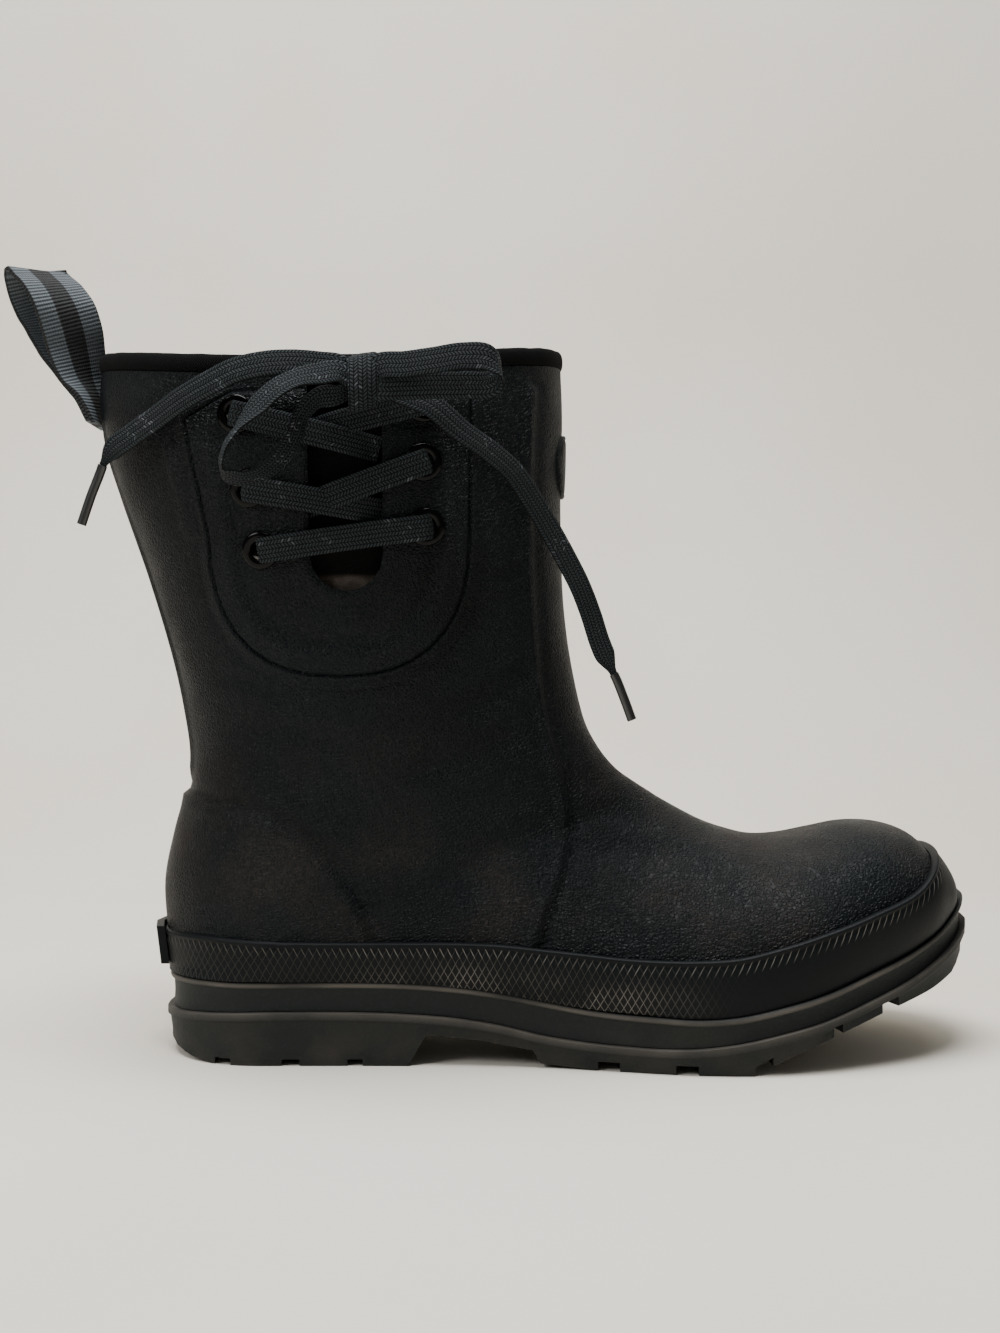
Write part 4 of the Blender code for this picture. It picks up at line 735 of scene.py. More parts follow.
def skin_point(section, side, t):
    """Point of a section, from its front or top at t = 0 to its back or feather edge at t = 1."""
    if t <= section.split:
        turn = pi / 2 * t / section.split
        power = 2 / section.top_round
        along = section.widest + (1 - section.widest) * max(0.0, cos(turn)) ** power
        out = section.wide * sin(turn) ** power
    else:
        power = 2 / section.low_round
        opening = max(1e-3, 1 - (section.base / section.wide) ** section.low_round)
        turn = asin(sqrt(opening)) * (t - section.split) / (1 - section.split)
        along = section.widest * (1 - (sin(turn) / sqrt(opening)) ** power)
        out = section.wide * max(0.0, cos(turn)) ** power
    point = section.back.lerp(section.front, along)
    point.y += side * out
    point.z -= section.dip * (out / max(section.wide, 1e-6)) ** 2
    return point


def prism(name, outline, low, high):
    """A cutter: a closed outline in X and Z, pulled along Y from low to high."""
    count = len(outline)
    points = [(x, low, z) for x, z in outline] + [(x, high, z) for x, z in outline]
    faces = [list(range(count)), list(range(2 * count - 1, count - 1, -1))]
    faces += [[k, (k + 1) % count, (k + 1) % count + count, k + count] for k in range(count)]
    return guide(solid(name, points, faces))


def on_side(corners):
    return [(from_heel(x), z * HEIGHT) for x, z in corners]


def layer_shares():
    """Shares of the length that carry the sole's rings, close together at heel and toe."""
    ends = [0.0, 0.006, 0.016, 0.03, 0.052, 0.073]
    middle = [0.093, 0.156, 0.177, 0.234, 0.252, 0.28, 0.306, 0.328, 0.36, 0.392]
    middle += [0.425, 0.453, 0.461, 0.49, 0.528, 0.553, 0.585, 0.617, 0.643, 0.675, 0.709, 0.730]
    toe = [0.76, 0.79, 0.804, 0.815, 0.84, 0.867, 0.888, 0.91, 0.93, 0.951, 0.97, 0.979, 0.99, 1.0]
    return ends + middle + toe


def layer_ring(shares, inset, height):
    """A ring round the sole: out along one side and back along the other."""
    ring = []
    for side, order in ((-1, shares), (1, shares[-2:0:-1])):
        for share in order:
            x, y = edge_point(share, side, inset, inset)
            ring.append((x, y, height(x, share)))
    return ring


def across(shares, offset):
    """Faces that join a ring's two sides, straight across."""
    count = len(shares)
    ring = 2 * count - 2
    faces = []
    for k in range(count - 1):
        corners = [k, k + 1, (ring - k - 1) % ring, (ring - k) % ring]
        faces.append([corner + offset for corner in dict.fromkeys(corners)])
    return faces


def notch_depth(share):
    return HEEL_NOTCH_DEPTH if share < ARCH[1] else FORE_NOTCH_DEPTH


def is_groove(middle, band):
    """Whether a cell of the underside is cut: cross notches, and two channels along the foot."""
    if any(start < middle < end for start, end in NOTCHES):
        return True
    return band in (1, 3) and any(start < middle < end for start, end in CHANNELS)


def outsole_shape(shares, coat):
    """Ledge, side and lugs. The underside is a grid of cells, each a lug or a groove."""
    bands = len(TREAD_BANDS)
    points, faces = [], []

    def add(point):
        points.append(point)
        return len(points) - 1

    def floor_point(share, fraction, lift):
        x, y = edge_point(share, 1, TREAD_DRAFT * 2, TREAD_DRAFT * 2)
        centre = sole_half(share)[1]
        edge = abs(fraction) == 1.0
        height = underside("edge" if edge else "inner", share)
        roof = underside("edge", share) + notch_depth(share)
        return (x, centre + fraction * (y - centre), roof if lift else height)

    low = [[add(floor_point(s, f, False)) for f in TREAD_BANDS] for s in shares]
    roof = [[add(floor_point(s, f, True)) for f in TREAD_BANDS] for s in shares]
    levels = [
        (LEDGE_STEP, lambda x: side_line("ledge", x) - LEDGE_HEIGHT),
        (0.0, lambda x: side_line("ledge", x) - LEDGE_HEIGHT),
        (0.0, lambda x: side_line("ledge", x)),
    ]
    sides = []
    for inset, height in levels:
        row = []
        for share in shares:
            pair = [edge_point(share, side, inset, inset) for side in (-1, 1)]
            row.append([add((x, y, height(x))) for x, y in pair])
        sides.append(row)

    last = len(shares) - 1
    grooved = [
        [is_groove((shares[k] + shares[k + 1]) / 2, band) for band in range(bands - 1)]
        for k in range(last)
    ]
    for k in range(last):
        for band in range(bands - 1):
            grid = roof if grooved[k][band] else low
            faces.append([grid[k][band], grid[k][band + 1], grid[k + 1][band + 1], grid[k + 1][band]])
            if band and grooved[k][band] != grooved[k][band - 1]:
                faces.append([low[k][band], low[k + 1][band], roof[k + 1][band], roof[k][band]])
            if k and grooved[k][band] != grooved[k - 1][band]:
                faces.append([low[k][band], low[k][band + 1], roof[k][band + 1], roof[k][band]])
        for side, band in ((0, 0), (1, bands - 1)):
            cell = grooved[k][0 if side == 0 else bands - 2]
            if not cell:
                faces.append([low[k][band], low[k + 1][band], roof[k + 1][band], roof[k][band]])
            edges = [[row[band] for row in roof]] + [[pair[side] for pair in row] for row in sides]
            for lower, upper in zip(edges, edges[1:]):
                faces.append([lower[k], lower[k + 1], upper[k + 1], upper[k]])
        faces.append([sides[-1][k][0], sides[-1][k + 1][0], sides[-1][k + 1][1], sides[-1][k][1]])
    return made("outsole_dressed", points, faces, coat)


def superellipse(middle, half, foot, turn, power, steps):
    """The round foot of a U in the side view, from its back side to its front side."""
    line = []
    for k in range(steps + 1):
        angle = pi * k / steps
        x = middle - half * np.sign(cos(angle)) * abs(cos(angle)) ** (2 / power)
        z = turn - (turn - foot) * sin(angle) ** (2 / power)
        line.append((float(x), float(z)))
    return line


def panel_outline():
    line = superellipse(PANEL_MIDDLE, PANEL_HALF, PANEL_FOOT, PANEL_TURN, PANEL_ROUND, 18)
    top = [
        (PANEL_MIDDLE + PANEL_HALF + 0.002, PANEL_TOP),
        (PANEL_MIDDLE, PANEL_TOP),
        (PANEL_MIDDLE - 0.8 * PANEL_HALF, PANEL_TOP - 0.006),
        (PANEL_MIDDLE - PANEL_HALF - PANEL_LEAN_BACK + 0.004, PANEL_TOP - 0.04),
    ]
    return on_side(line + top)


def slot_outline(widen=0.0, drop=0.0):
    """The opening between the panel's two sides, with a round foot, up past the collar."""
    half = SLOT_WIDTH / 2 + widen
    middle = from_heel(SLOT_MIDDLE)
    foot = SLOT_FOOT * HEIGHT - drop
    arc = [pi + pi * k / 8 for k in range(9)]
    line = [(middle + half * cos(a), foot + SLOT_WIDTH / 2 + half * sin(a)) for a in arc]
    top = HEIGHT * 1.2
    return [*line, (middle + half, top), (middle - half, top)]


def foxing_top_line():
    shares = [row.share for row in SIDE_LINES]
    return [(from_heel(share), side_line("foxing_top", from_heel(share))) for share in shares]


def side_hit(tree, x, z):
    """Place where the outer side's skin meets a line along Y."""
    return tree.ray_cast(Vector((x, -REACH, z)), Vector((0, 1, 0)))[0]


def side_frame(tree, x, z, step=4 * MM):
    """Place and outward direction of the outer side at x and z."""
    across_x = side_hit(tree, x + step, z) - side_hit(tree, x - step, z)
    up_z = side_hit(tree, x, z + step) - side_hit(tree, x, z - step)
    return side_hit(tree, x, z), across_x.cross(up_z).normalized()


COLUMNS_FINE = 102
SHAFT_ROWS_FINE = 94
FOOT_ROWS_FINE = 114


class FineSkin:
    """The upper's outside as a dense grid, from the same sections as the solid, with the outward
    direction at each point. Rows run from the collar to the toe, columns from the front or top line
    down each side."""

    def __init__(self, shaft_rows, foot_rows, columns):
        closed = self.even_rows(0, HEEL_CORNER, shaft_rows)
        opened = self.even_rows(HEEL_CORNER, len(SECTIONS) - 1.12, foot_rows + 1)[1:]
        places = [*closed, *opened, len(SECTIONS) - 1]
        self.rows, self.columns, self.corner = len(places), columns, shaft_rows - 1
        wide = 2 * columns + 1
        grid = np.zeros((self.rows, wide, 3))
        for i, row in enumerate(places):
            if i == self.rows - 1:
                x = from_heel(SECTIONS[-1].back_x)
                grid[i] = (x, feather_half(x)[1], feather_line(x) + GAP)
                continue
            section = section_at(row, i > self.corner)
            for side in (-1, 1):
                line = self.even_columns(section, side)
                grid[i, columns + side * np.arange(columns + 1)] = line
        self.soften_corner(grid)
        self.grid = grid
        self.normals = self.directions(grid)
        self.tri = self.triangles()

    def soften_corner(self, grid):
        """Evens out the slight kink where the closed sections of the shaft meet those of the foot,
        away from the back and the feather edge."""
        low, high = self.corner - 4, self.corner + 12
        spread = np.abs(np.arange(-self.columns, self.columns + 1)) / self.columns
        weight = np.clip((0.86 - spread) / 0.2, 0, 1)[None, :, None]
        for _ in range(8):
            mean = (grid[low - 1 : high - 1] + grid[low:high] + grid[low + 1 : high + 1]) / 3
            grid[low:high] += weight * (mean - grid[low:high])

    def even_columns(self, section, side):
        """Points down one side of a section, at nearly even steps."""
        shares = np.linspace(0, 1, self.columns + 1)
        rough = np.array([skin_point(section, side, share) for share in shares])
        travel = np.concatenate([[0], np.cumsum(np.linalg.norm(np.diff(rough, axis=0), axis=1))])
        even = np.interp(np.linspace(0, travel[-1], self.columns + 1), travel, shares)
        return [skin_point(section, side, share) for share in 0.8 * even + 0.2 * shares]

    def even_rows(self, first, last, count):
        """Places between two sections that step evenly along the front or back line, as fits both."""
        rough = np.linspace(first, last, 400)
        rows = np.array([smooth(row, range(len(SECTIONS)), SECTIONS) for row in rough])
        names = Section._fields
        front, back = ([rows[:, names.index(f"{end}_{axis}")] for axis in "xz"] for end in ("front", "back"))
        steps = [np.hypot(np.diff(x) * LENGTH, np.diff(z) * HEIGHT) for x, z in (front, back)]
        travel = np.concatenate([[0], np.cumsum(steps[0] + steps[1])])
        return np.interp(np.linspace(0, travel[-1], count), travel, rough)

    def directions(self, grid):
        """Outward direction of each point, from its neighbours along and across."""
        down = np.gradient(grid, axis=0)
        over = np.gradient(grid, axis=1)
        # The back seam of the shaft closes on itself
        top = slice(0, self.corner + 1)
        over[top, 0] = over[top, -1] = grid[top, 1] - grid[top, -2]
        normals = np.cross(over, down)
        long = np.linalg.norm(normals, axis=2, keepdims=True)
        normals = normals / np.maximum(long, 1e-12)
        normals[-1] = normals[-2].mean(axis=0) / np.linalg.norm(normals[-2].mean(axis=0))
        # Outward is away from the middle of the section
        middle = grid.mean(axis=1, keepdims=True)
        sign = np.sign(((grid - middle) * normals).sum(axis=2).mean(axis=1))
        sign[-1] = sign[-2]
        normals = normals * sign[:, None, None]
        # The rows fan out from the heel's corner, so their directions are evened out
        for _ in range(5):
            normals[1:-4] = (normals[:-5] + normals[1:-4] + normals[2:-3]) / 3
        return normals / np.linalg.norm(normals, axis=2, keepdims=True)

    def triangles(self):
        """Faces of the grid as index rings, wound outwards."""
        wide = 2 * self.columns + 1
        faces = []
        for i in range(self.rows - 1):
            for j in range(wide - 1):
                a, b = i * wide + j, i * wide + j + 1
                faces.append((a, b, b + wide, a + wide))
        return faces

    def moved(self, offset):
        """The grid moved out by an offset, a number or a height at each point."""
        offset = np.asarray(offset, float)
        if offset.ndim == 0:
            offset = np.full(self.grid.shape[:2], float(offset))
        moved = self.grid + self.normals * offset[..., None]
        lowest = np.interp(moved[..., 0], *feather_stops()) + GAP
        low = moved[self.corner + 1 :, :, 2]
        np.maximum(low, lowest[self.corner + 1 :], out=low)
        moved[self.corner :, 0, 2] = lowest[self.corner :, 0]
        moved[self.corner :, -1, 2] = lowest[self.corner :, -1]
        return moved

    def tree(self, offset=0.0):
        points = self.moved(offset).reshape(-1, 3)
        return BVHTree.FromPolygons([tuple(p) for p in points], self.tri)

    def shell(self, name, outer, inner, coat):
        """A closed shell between two offsets, open at collar and feather edge."""
        wide = 2 * self.columns + 1
        count = self.rows * wide
        points = np.concatenate([self.moved(outer).reshape(-1, 3), self.moved(inner).reshape(-1, 3)])
        faces = [*self.tri, *(tuple(k + count for k in reversed(face)) for face in self.tri)]
        rim = list(range(wide))
        edge = [i * wide for i in range(self.corner, self.rows)]
        edge_other = [i * wide + wide - 1 for i in range(self.corner, self.rows)]
        for line in (rim[::-1], edge, edge_other[::-1]):
            faces += [(a, b, b + count, a + count) for a, b in zip(line, line[1:])]
        return made(name, points, faces, coat)


def place(name, mesh, coat, sharp=radians(40)):
    """An object in the scene that holds the mesh, smooth with sharp edges over an angle."""
    mesh.shade_smooth()
    mesh.set_sharp_from_angle(angle=sharp)
    obj = bpy.data.objects.new(name, mesh)
    bpy.context.scene.collection.objects.link(obj)
    if coat:
        mesh.materials.append(coat)
    return obj


def made(name, points, faces, coat=None, sharp=radians(40), merge=1e-6):
    """A closed object with its faces pointing out. Points that coincide are merged."""
    mesh = bpy.data.meshes.new(name)
    mesh.from_pydata([tuple(point) for point in points], [], faces)
    shape = bmesh.new()
    shape.from_mesh(mesh)
    if merge:
        bmesh.ops.remove_doubles(shape, verts=shape.verts, dist=merge)
        bmesh.ops.dissolve_degenerate(shape, edges=shape.edges, dist=merge)
    bmesh.ops.recalc_face_normals(shape, faces=shape.faces)
    shape.to_mesh(mesh)
    shape.free()
    return place(name, mesh, coat, sharp)


def solid(name, points, faces):
    return made(name, points, faces)


def apply_cuts(obj):
    """Turns the object's cuts into its mesh and clears them."""
    depsgraph = bpy.context.evaluated_depsgraph_get()
    mesh = bpy.data.meshes.new_from_object(obj.evaluated_get(depsgraph), preserve_all_data_layers=True,
                                           depsgraph=depsgraph)
    obj.modifiers.clear()
    old, obj.data = obj.data, mesh
    bpy.data.meshes.remove(old)


def drop(*objects):
    for obj in objects:
        bpy.data.objects.remove(obj)


def side_distance(points, line, closed=False):
    """Signed distance of points from a line in the side view: above zero to its left."""
    stops = np.asarray(line, float)
    if closed:
        stops = np.vstack([stops, stops[:1]])
    best = np.full(points.shape[:-1], 1e9)
    sign = np.ones(points.shape[:-1])
    for a, b in zip(stops, stops[1:]):
        along = b - a
        share = np.clip(((points - a) @ along) / max(along @ along, 1e-12), 0, 1)
        off = points - (a + share[..., None] * along)
        far = np.linalg.norm(off, axis=-1)
        side = np.sign(along[0] * off[..., 1] - along[1] * off[..., 0])
        nearer = far < best
        best = np.where(nearer, far, best)
        sign = np.where(nearer, side, sign)
    return best * sign


def fine_line(rows, steps=12):
    """A smooth line through the points of a table."""
    rows = np.asarray(rows, float)
    lengths = np.concatenate([[0], np.cumsum(np.linalg.norm(np.diff(rows, axis=0), axis=1))])
    places = np.linspace(0, lengths[-1], steps * len(rows))
    return np.array([smooth(at, lengths, rows) for at in places])


def step_up(distance, width):
    """A soft step from 0 to 1 across a width about zero."""
    t = np.clip(distance / width + 0.5, 0, 1)
    return t * t * (3 - 2 * t)


def ridge(distance, width):
    return np.exp(-((distance / (width / 2)) ** 2))


RELIEF_COUNTER = 0.0013
RELIEF_COUNTER_SOFT = 0.0034
RELIEF_STRIP_SOFT = 0.0008
EYELET_SIDES_FINE = 48
PANEL_STEP = 0.00052
PANEL_SINK = 0.0016
PANEL_FLANK = 0.005
SLOT_DEPTH = 0.0042
LACE_THICK = 0.0013


def side_view(grid):
    return grid[..., [0, 2]]


def upper_relief(skin):
    """How far the upper's face stands out: counter, front seams, back edge and side strip, as soft
    moulded steps, with the few creases of a worn shaft."""
    grid = skin.grid
    flat = side_view(grid)
    x, y, z = grid[..., 0], grid[..., 1], grid[..., 2]
    counter = side_distance(flat, fine_line(on_side(COUNTER_LINE)))
    height = RELIEF_COUNTER * (1 - step_up(counter, RELIEF_COUNTER_SOFT))
    # The roll of rubber behind the counter's edge, and the hollow in front of it
    height += 0.0004 * ridge(counter + 0.0022, 0.0034)
    foxing_top = np.array(foxing_top_line())
    clear = step_up(z - np.interp(x, foxing_top[:, 0], foxing_top[:, 1]) - 0.006, 0.010)
    height -= 0.0009 * ridge(counter - 0.0024, 0.0040) * clear
    height *= x < from_heel(0.34)
    seam = side_distance(flat, fine_line(on_side(SEAM_LINE)))
    height += 0.0012 * ridge(seam, 0.0034)
    height -= (0.0005 + 0.0005 * step_up(0.088 - z, 0.02)) * ridge(seam - 0.0036, 0.0030)
    # The back strap's edge on each side
    above = step_up(z - (COUNTER_LINE[0][1] * HEIGHT + 0.003), 0.006)
    strap = np.abs(y) - BACKSTAY_WIDTH / 2
    back = x < from_heel(0.10)
    height += np.where(back, BACKSTAY * (1 - step_up(strap, 0.0016)) * above, 0)
    corners = on_side(STRIP_CORNERS)
    strip = side_distance(flat, corners, closed=True)
    inside_z = (z > corners[1][1] - 0.004) & (z < corners[3][1] + 0.004)
    strip_near = (x > corners[0][0] - 0.004) & (x < corners[2][0] + 0.004) & inside_z & (y < 0)
    inside = winding(corners)
    height += np.where(strip_near, STRIP * step_up(strip * inside, RELIEF_STRIP_SOFT), 0)
    height += creases(grid)
    # Nothing is raised next to the feather edge, which the foxing hides
    foot = step_up(z - np.interp(x, *feather_stops()) - 0.004, 0.006)
    foot[: skin.corner] = 1.0
    rim = np.clip(np.arange(skin.rows) / 3, 0, 1)[:, None]
    return height * foot * rim


def winding(corners):
    """1 where the outline runs anticlockwise in the side view, or else -1."""
    area = sum(a[0] * b[1] - b[0] * a[1] for a, b in zip(corners, corners[1:] + corners[:1]))
    return 1.0 if area > 0 else -1.0


# Creases, listed one by one: start and end as shares of LENGTH and HEIGHT, sag of its middle as a
# share of HEIGHT, width and depth in mm
Crease = namedtuple("Crease", "x0 z0 x1 z1 sag width depth")
CREASES = [
    Crease(0.150, 0.655, 0.318, 0.640, -0.016, 3.6, 0.50),
    Crease(0.190, 0.607, 0.330, 0.592, -0.010, 4.2, 0.30),
    Crease(0.345, 0.500, 0.452, 0.560, -0.012, 7.0, 0.55),
    Crease(0.300, 0.420, 0.440, 0.470, -0.014, 8.0, 0.50),
    Crease(0.110, 0.470, 0.235, 0.452, 0.012, 7.0, 0.45),
    Crease(0.080, 0.545, 0.160, 0.520, 0.008, 5.0, 0.35),
    Crease(0.500, 0.345, 0.610, 0.330, 0.010, 7.0, 0.40),
    Crease(0.535, 0.300, 0.665, 0.262, 0.014, 8.0, 0.45),
    Crease(0.610, 0.235, 0.720, 0.230, 0.006, 8.0, 0.30),
    Crease(0.380, 0.300, 0.470, 0.345, -0.008, 7.0, 0.35),
    Crease(0.395, 0.690, 0.455, 0.705, -0.004, 4.0, 0.30),
]


def creases(grid):
    """Shallow folds on the outer side, with a roll above each."""
    flat = side_view(grid)
    outer = step_up(-grid[..., 1] - 0.012, 0.016)
    height = np.zeros(grid.shape[:2])
    for row in CREASES:
        start = np.array([from_heel(row.x0), row.z0 * HEIGHT])
        end = np.array([from_heel(row.x1), row.z1 * HEIGHT])
        share = np.linspace(0, 1, 14)
        line = start + (end - start) * share[:, None]
        line[:, 1] += row.sag * HEIGHT * np.sin(pi * share)
        far = side_distance(flat, line)
        along = ((flat - start) @ (end - start)) / ((end - start) @ (end - start))
        fade = step_up(along - 0.02, 0.35) * step_up(0.98 - along, 0.35)
        near = np.abs(far) < 4 * row.width * MM
        fold = ridge(far, row.width * MM) - 0.55 * ridge(np.abs(far) - 0.85 * row.width * MM, row.width * MM)
        height -= np.where(near, row.depth * MM * fold * fade, 0)
    return height * outer


def dressed_upper(skin, coat):
    """The upper as one dense skin with its moulded relief, cut for slot and eyelets."""
    obj = skin.shell("upper_skin", upper_relief(skin), -WALL, coat)
    slot = prism("slot_tool", slot_outline(), -REACH, 0.0)
    cut(obj, slot)
    for name, (place_at, axis) in SEATS.items():
        pin = round_pin(f"{name}_tool", place_at, axis, EYELET_BARREL / 2 + HOLE_CLEARANCE)
        cut(obj, pin)
    apply_cuts(obj)
    obj.data.set_sharp_from_angle(angle=radians(40))
    return obj


def round_pin(name, place_at, axis, radius):
    turn = Vector((0, 0, 1)).rotation_difference(axis)
    sides = EYELET_SIDES_FINE
    points = []
    for height in (-0.012, 0.006):
        for k in range(sides):
            angle = 2 * pi * k / sides
            points.append(turn @ Vector((radius * cos(angle), radius * sin(angle), height)) + place_at)
    faces = [list(range(sides))[::-1], [sides + k for k in range(sides)]]
    faces += [[k, (k + 1) % sides, sides + (k + 1) % sides, sides + k] for k in range(sides)]
    return guide(solid(name, points, faces))


def panel_relief(grid):
    """How far the panel's face stands out over the upper, before it is cut to its outline."""
    flat = side_view(grid)
    edge = side_distance(flat, panel_outline(), closed=True) * winding(panel_outline())
    slot = -side_distance(flat, slot_outline(), closed=True) * winding(slot_outline())
    # A flank that rises from the upper outside the outline, and the crisp groove along it
    height = PANEL * step_up(edge + PANEL_FLANK / 2, PANEL_FLANK)
    height -= PANEL * 0.9 * ridge(edge, 0.0010)
    height -= 0.0008 * ridge(edge - 0.0112, 0.0056)
    height += 0.0004 * ridge(edge - 0.0065, 0.0050)
    height -= PANEL * 0.5 * (1 - step_up(slot - 0.0006, 0.0016))
    height += 0.0003 * ridge(slot - 0.0026, 0.0026)
    height -= PANEL * step_up(grid[..., 2] - (PANEL_TOP * HEIGHT - 0.002), 0.005)
    # Fine stretch lines under the slot's foot
    x, z = grid[..., 0], grid[..., 2]
    lines = np.cos(2 * pi * (z - 0.10 * x) / 0.0021) * ridge(x - 0.0135, 0.015) * ridge(z - 0.1540, 0.008)
    height += 0.00024 * lines
    return np.maximum(height, -0.0010)


def side_patch(name, tree, low, high, step, relief, sink, coat):
    """A dense closed plate over the outer side between two corners in the side view. Its face
    stands out by the relief, and its back lies a gap off the upper."""
    xs = np.arange(low[0], high[0] + step, step)
    zs = np.arange(low[1], high[1] + step, step)
    base = np.array([[side_hit(tree, x, z) for x in xs] for z in zs])
    over, up = np.gradient(base, axis=1), np.gradient(base, axis=0)
    out = np.cross(over, up)
    out /= np.linalg.norm(out, axis=2, keepdims=True)
    out *= -np.sign(out[..., 1:2])
    face = base + out * relief(base)[..., None]
    back = base + out * sink
    rows, wide = base.shape[:2]
    count = rows * wide
    points = np.concatenate([face.reshape(-1, 3), back.reshape(-1, 3)])
    faces = []
    for i in range(rows - 1):
        for j in range(wide - 1):
            a = i * wide + j
            faces.append((a, a + 1, a + 1 + wide, a + wide))
            faces.append((a + count + wide, a + 1 + count + wide, a + 1 + count, a + count))
    rim = [i for i in range(wide)]
    rim += [i * wide + wide - 1 for i in range(1, rows)]
    rim += [(rows - 1) * wide + j for j in range(wide - 2, -1, -1)]
    rim += [i * wide for i in range(rows - 2, 0, -1)]
    faces += [(b, a, a + count, b + count) for a, b in zip(rim, rim[1:] + rim[:1])]
    return made(name, points, faces, coat, merge=0)


def dressed_panel(tree, coat):
    """The raised U round the slot, with its crisp edge, grooves and rolled slot edge."""
    outline = widened(np.array(smooth_outline(panel_outline())), PANEL_FLANK)
    low = outline.min(axis=0) - MM
    high = outline.max(axis=0) + MM
    high[1] = min(high[1], PANEL_TOP * HEIGHT + MM)
    obj = side_patch("lace_panel_skin", tree, low, high, PANEL_STEP, panel_relief, -PANEL_SINK, coat)
    cut(obj, prism("panel_tool", [tuple(p) for p in outline], -REACH, 0.0), "INTERSECT")
    cut(obj, bpy.data.objects["slot_tool"])
    for name in SEATS:
        cut(obj, bpy.data.objects[f"{name}_tool"])
    apply_cuts(obj)
    obj.data.set_sharp_from_angle(angle=radians(50))
    return obj


def widened(outline, by):
    """The outline moved out by a distance."""
    ahead, behind = np.roll(outline, -1, axis=0), np.roll(outline, 1, axis=0)
    along = ahead - behind
    along /= np.linalg.norm(along, axis=1, keepdims=True)
    turn = winding([tuple(p) for p in outline])
    return outline - turn * by * np.column_stack([-along[:, 1], along[:, 0]])


def smooth_outline(corners):
    """The panel's outline with its round foot drawn finely."""
    foot = superellipse(PANEL_MIDDLE, PANEL_HALF, PANEL_FOOT, PANEL_TURN, PANEL_ROUND, 90)
    return on_side(foot) + list(corners[19:])


def sweep(name, frames, profile, coat, closed=False, around=False):
    """Pulls a profile of width and height along frames of centre, width and height direction. The
    mesh keeps metres along and across, or around the profile, as its UV map."""
    size, count = len(profile), len(frames)
    points = [c + w * a + n * b for c, w, n in frames for a, b in profile]
    along = np.concatenate([[0], np.cumsum([(b[0] - a[0]).length for a, b in zip(frames, frames[1:])])])
    edge = np.array([*profile, profile[0]])
    turn = np.concatenate([[0], np.cumsum(np.linalg.norm(np.diff(edge, axis=0), axis=1))])
    across_at = turn if around else [a for a, b in (*profile, profile[0])]
    faces, uvs = [], []
    for k in range(count if closed else count - 1):
        after = (k + 1) % count
        far = along[k + 1] if k + 1 < count else along[k] + (frames[0][0] - frames[k][0]).length
        for m in range(size):
            n = (m + 1) % size
            faces.append((k * size + m, after * size + m, after * size + n, k * size + n))
            uvs += [(along[k], across_at[m]), (far, across_at[m]), (far, across_at[m + 1]), (along[k], across_at[m + 1])]
    if not closed:
        faces += [tuple(range(size)), tuple(range(count * size - 1, (count - 1) * size - 1, -1))]
        uvs += [(0.0, a) for a, b in profile] + [(along[-1], a) for a, b in reversed(profile)]
    mesh = bpy.data.meshes.new(name)
    mesh.from_pydata([tuple(p) for p in points], [], faces)
    layer = mesh.uv_layers.new(name="UVMap")
    layer.data.foreach_set("uv", np.array(uvs, float).ravel())
    shape = bmesh.new()
    shape.from_mesh(mesh)
    bmesh.ops.recalc_face_normals(shape, faces=shape.faces)
    shape.to_mesh(mesh)
    shape.free()
    return place(name, mesh, coat, radians(50))


def ribbon_frames(route, normals, step=0.9 * MM):
    """Even frames along a smooth curve, each with its face turned to the given directions."""
    stops = [tuple(p) for p in route]
    lengths = np.cumsum([0.0] + [(b - a).length for a, b in zip(route, route[1:])])
    count = max(4, round(lengths[-1] / step))
    centres = [Vector(smooth(at, lengths, stops)) for at in np.linspace(0, lengths[-1], count)]
    frames = []
    for k, centre in enumerate(centres):
        at = lengths[-1] * k / (count - 1)
        along = (centres[min(k + 1, count - 1)] - centres[max(k - 1, 0)]).normalized()
        facing = Vector([float(np.interp(at, lengths, [n[c] for n in normals])) for c in range(3)])
        wide = along.cross(facing).normalized()
        frames.append((centre, wide, wide.cross(along).normalized()))
    return frames


def lace_profile(width=LACE_WIDTH, thick=LACE_THICK):
    """A flat lace's section: a thin lens with round edges."""
    half, rise = width / 2 - thick / 2, thick / 2
    top = [(half * s, rise * (1 - 0.25 * s * s)) for s in np.linspace(1, -1, 9)]
    ends = [(-half - 0.4 * thick, rise * 0.35), (-half - 0.4 * thick, -rise * 0.35)]
    low = [(-a, -b) for a, b in top]
    return top + ends + low + [(-a, -b) for a, b in ends]


def crossing(name, tree, start, end, rise, dive, coat):
    """A lace on the panel from where it comes out of the slot, or dives, to its eyelet."""
    start, end = Vector(start), Vector(end)
    route, normals = [], []
    steps = 16
    if dive:
        start -= (end - start).normalized() * 2.5 * MM
    for k in range(steps + 1):
        share = k / steps
        x, z = start.lerp(end, share)
        spot, out = side_frame(tree, x, z)
        route.append(spot + out * (rise(share) + LACE_THICK / 2))
        normals.append(out)
    # Down through the eyelet, or behind the slot's edge
    along = (route[-1] - route[-2]).normalized()
    route.append(route[-1] + along * 1.8 * MM - normals[-1] * 2.0 * MM)
    normals.append((normals[-1] + along * 1.2).normalized())
    return sweep(name, ribbon_frames(route, normals), lace_profile(), coat)


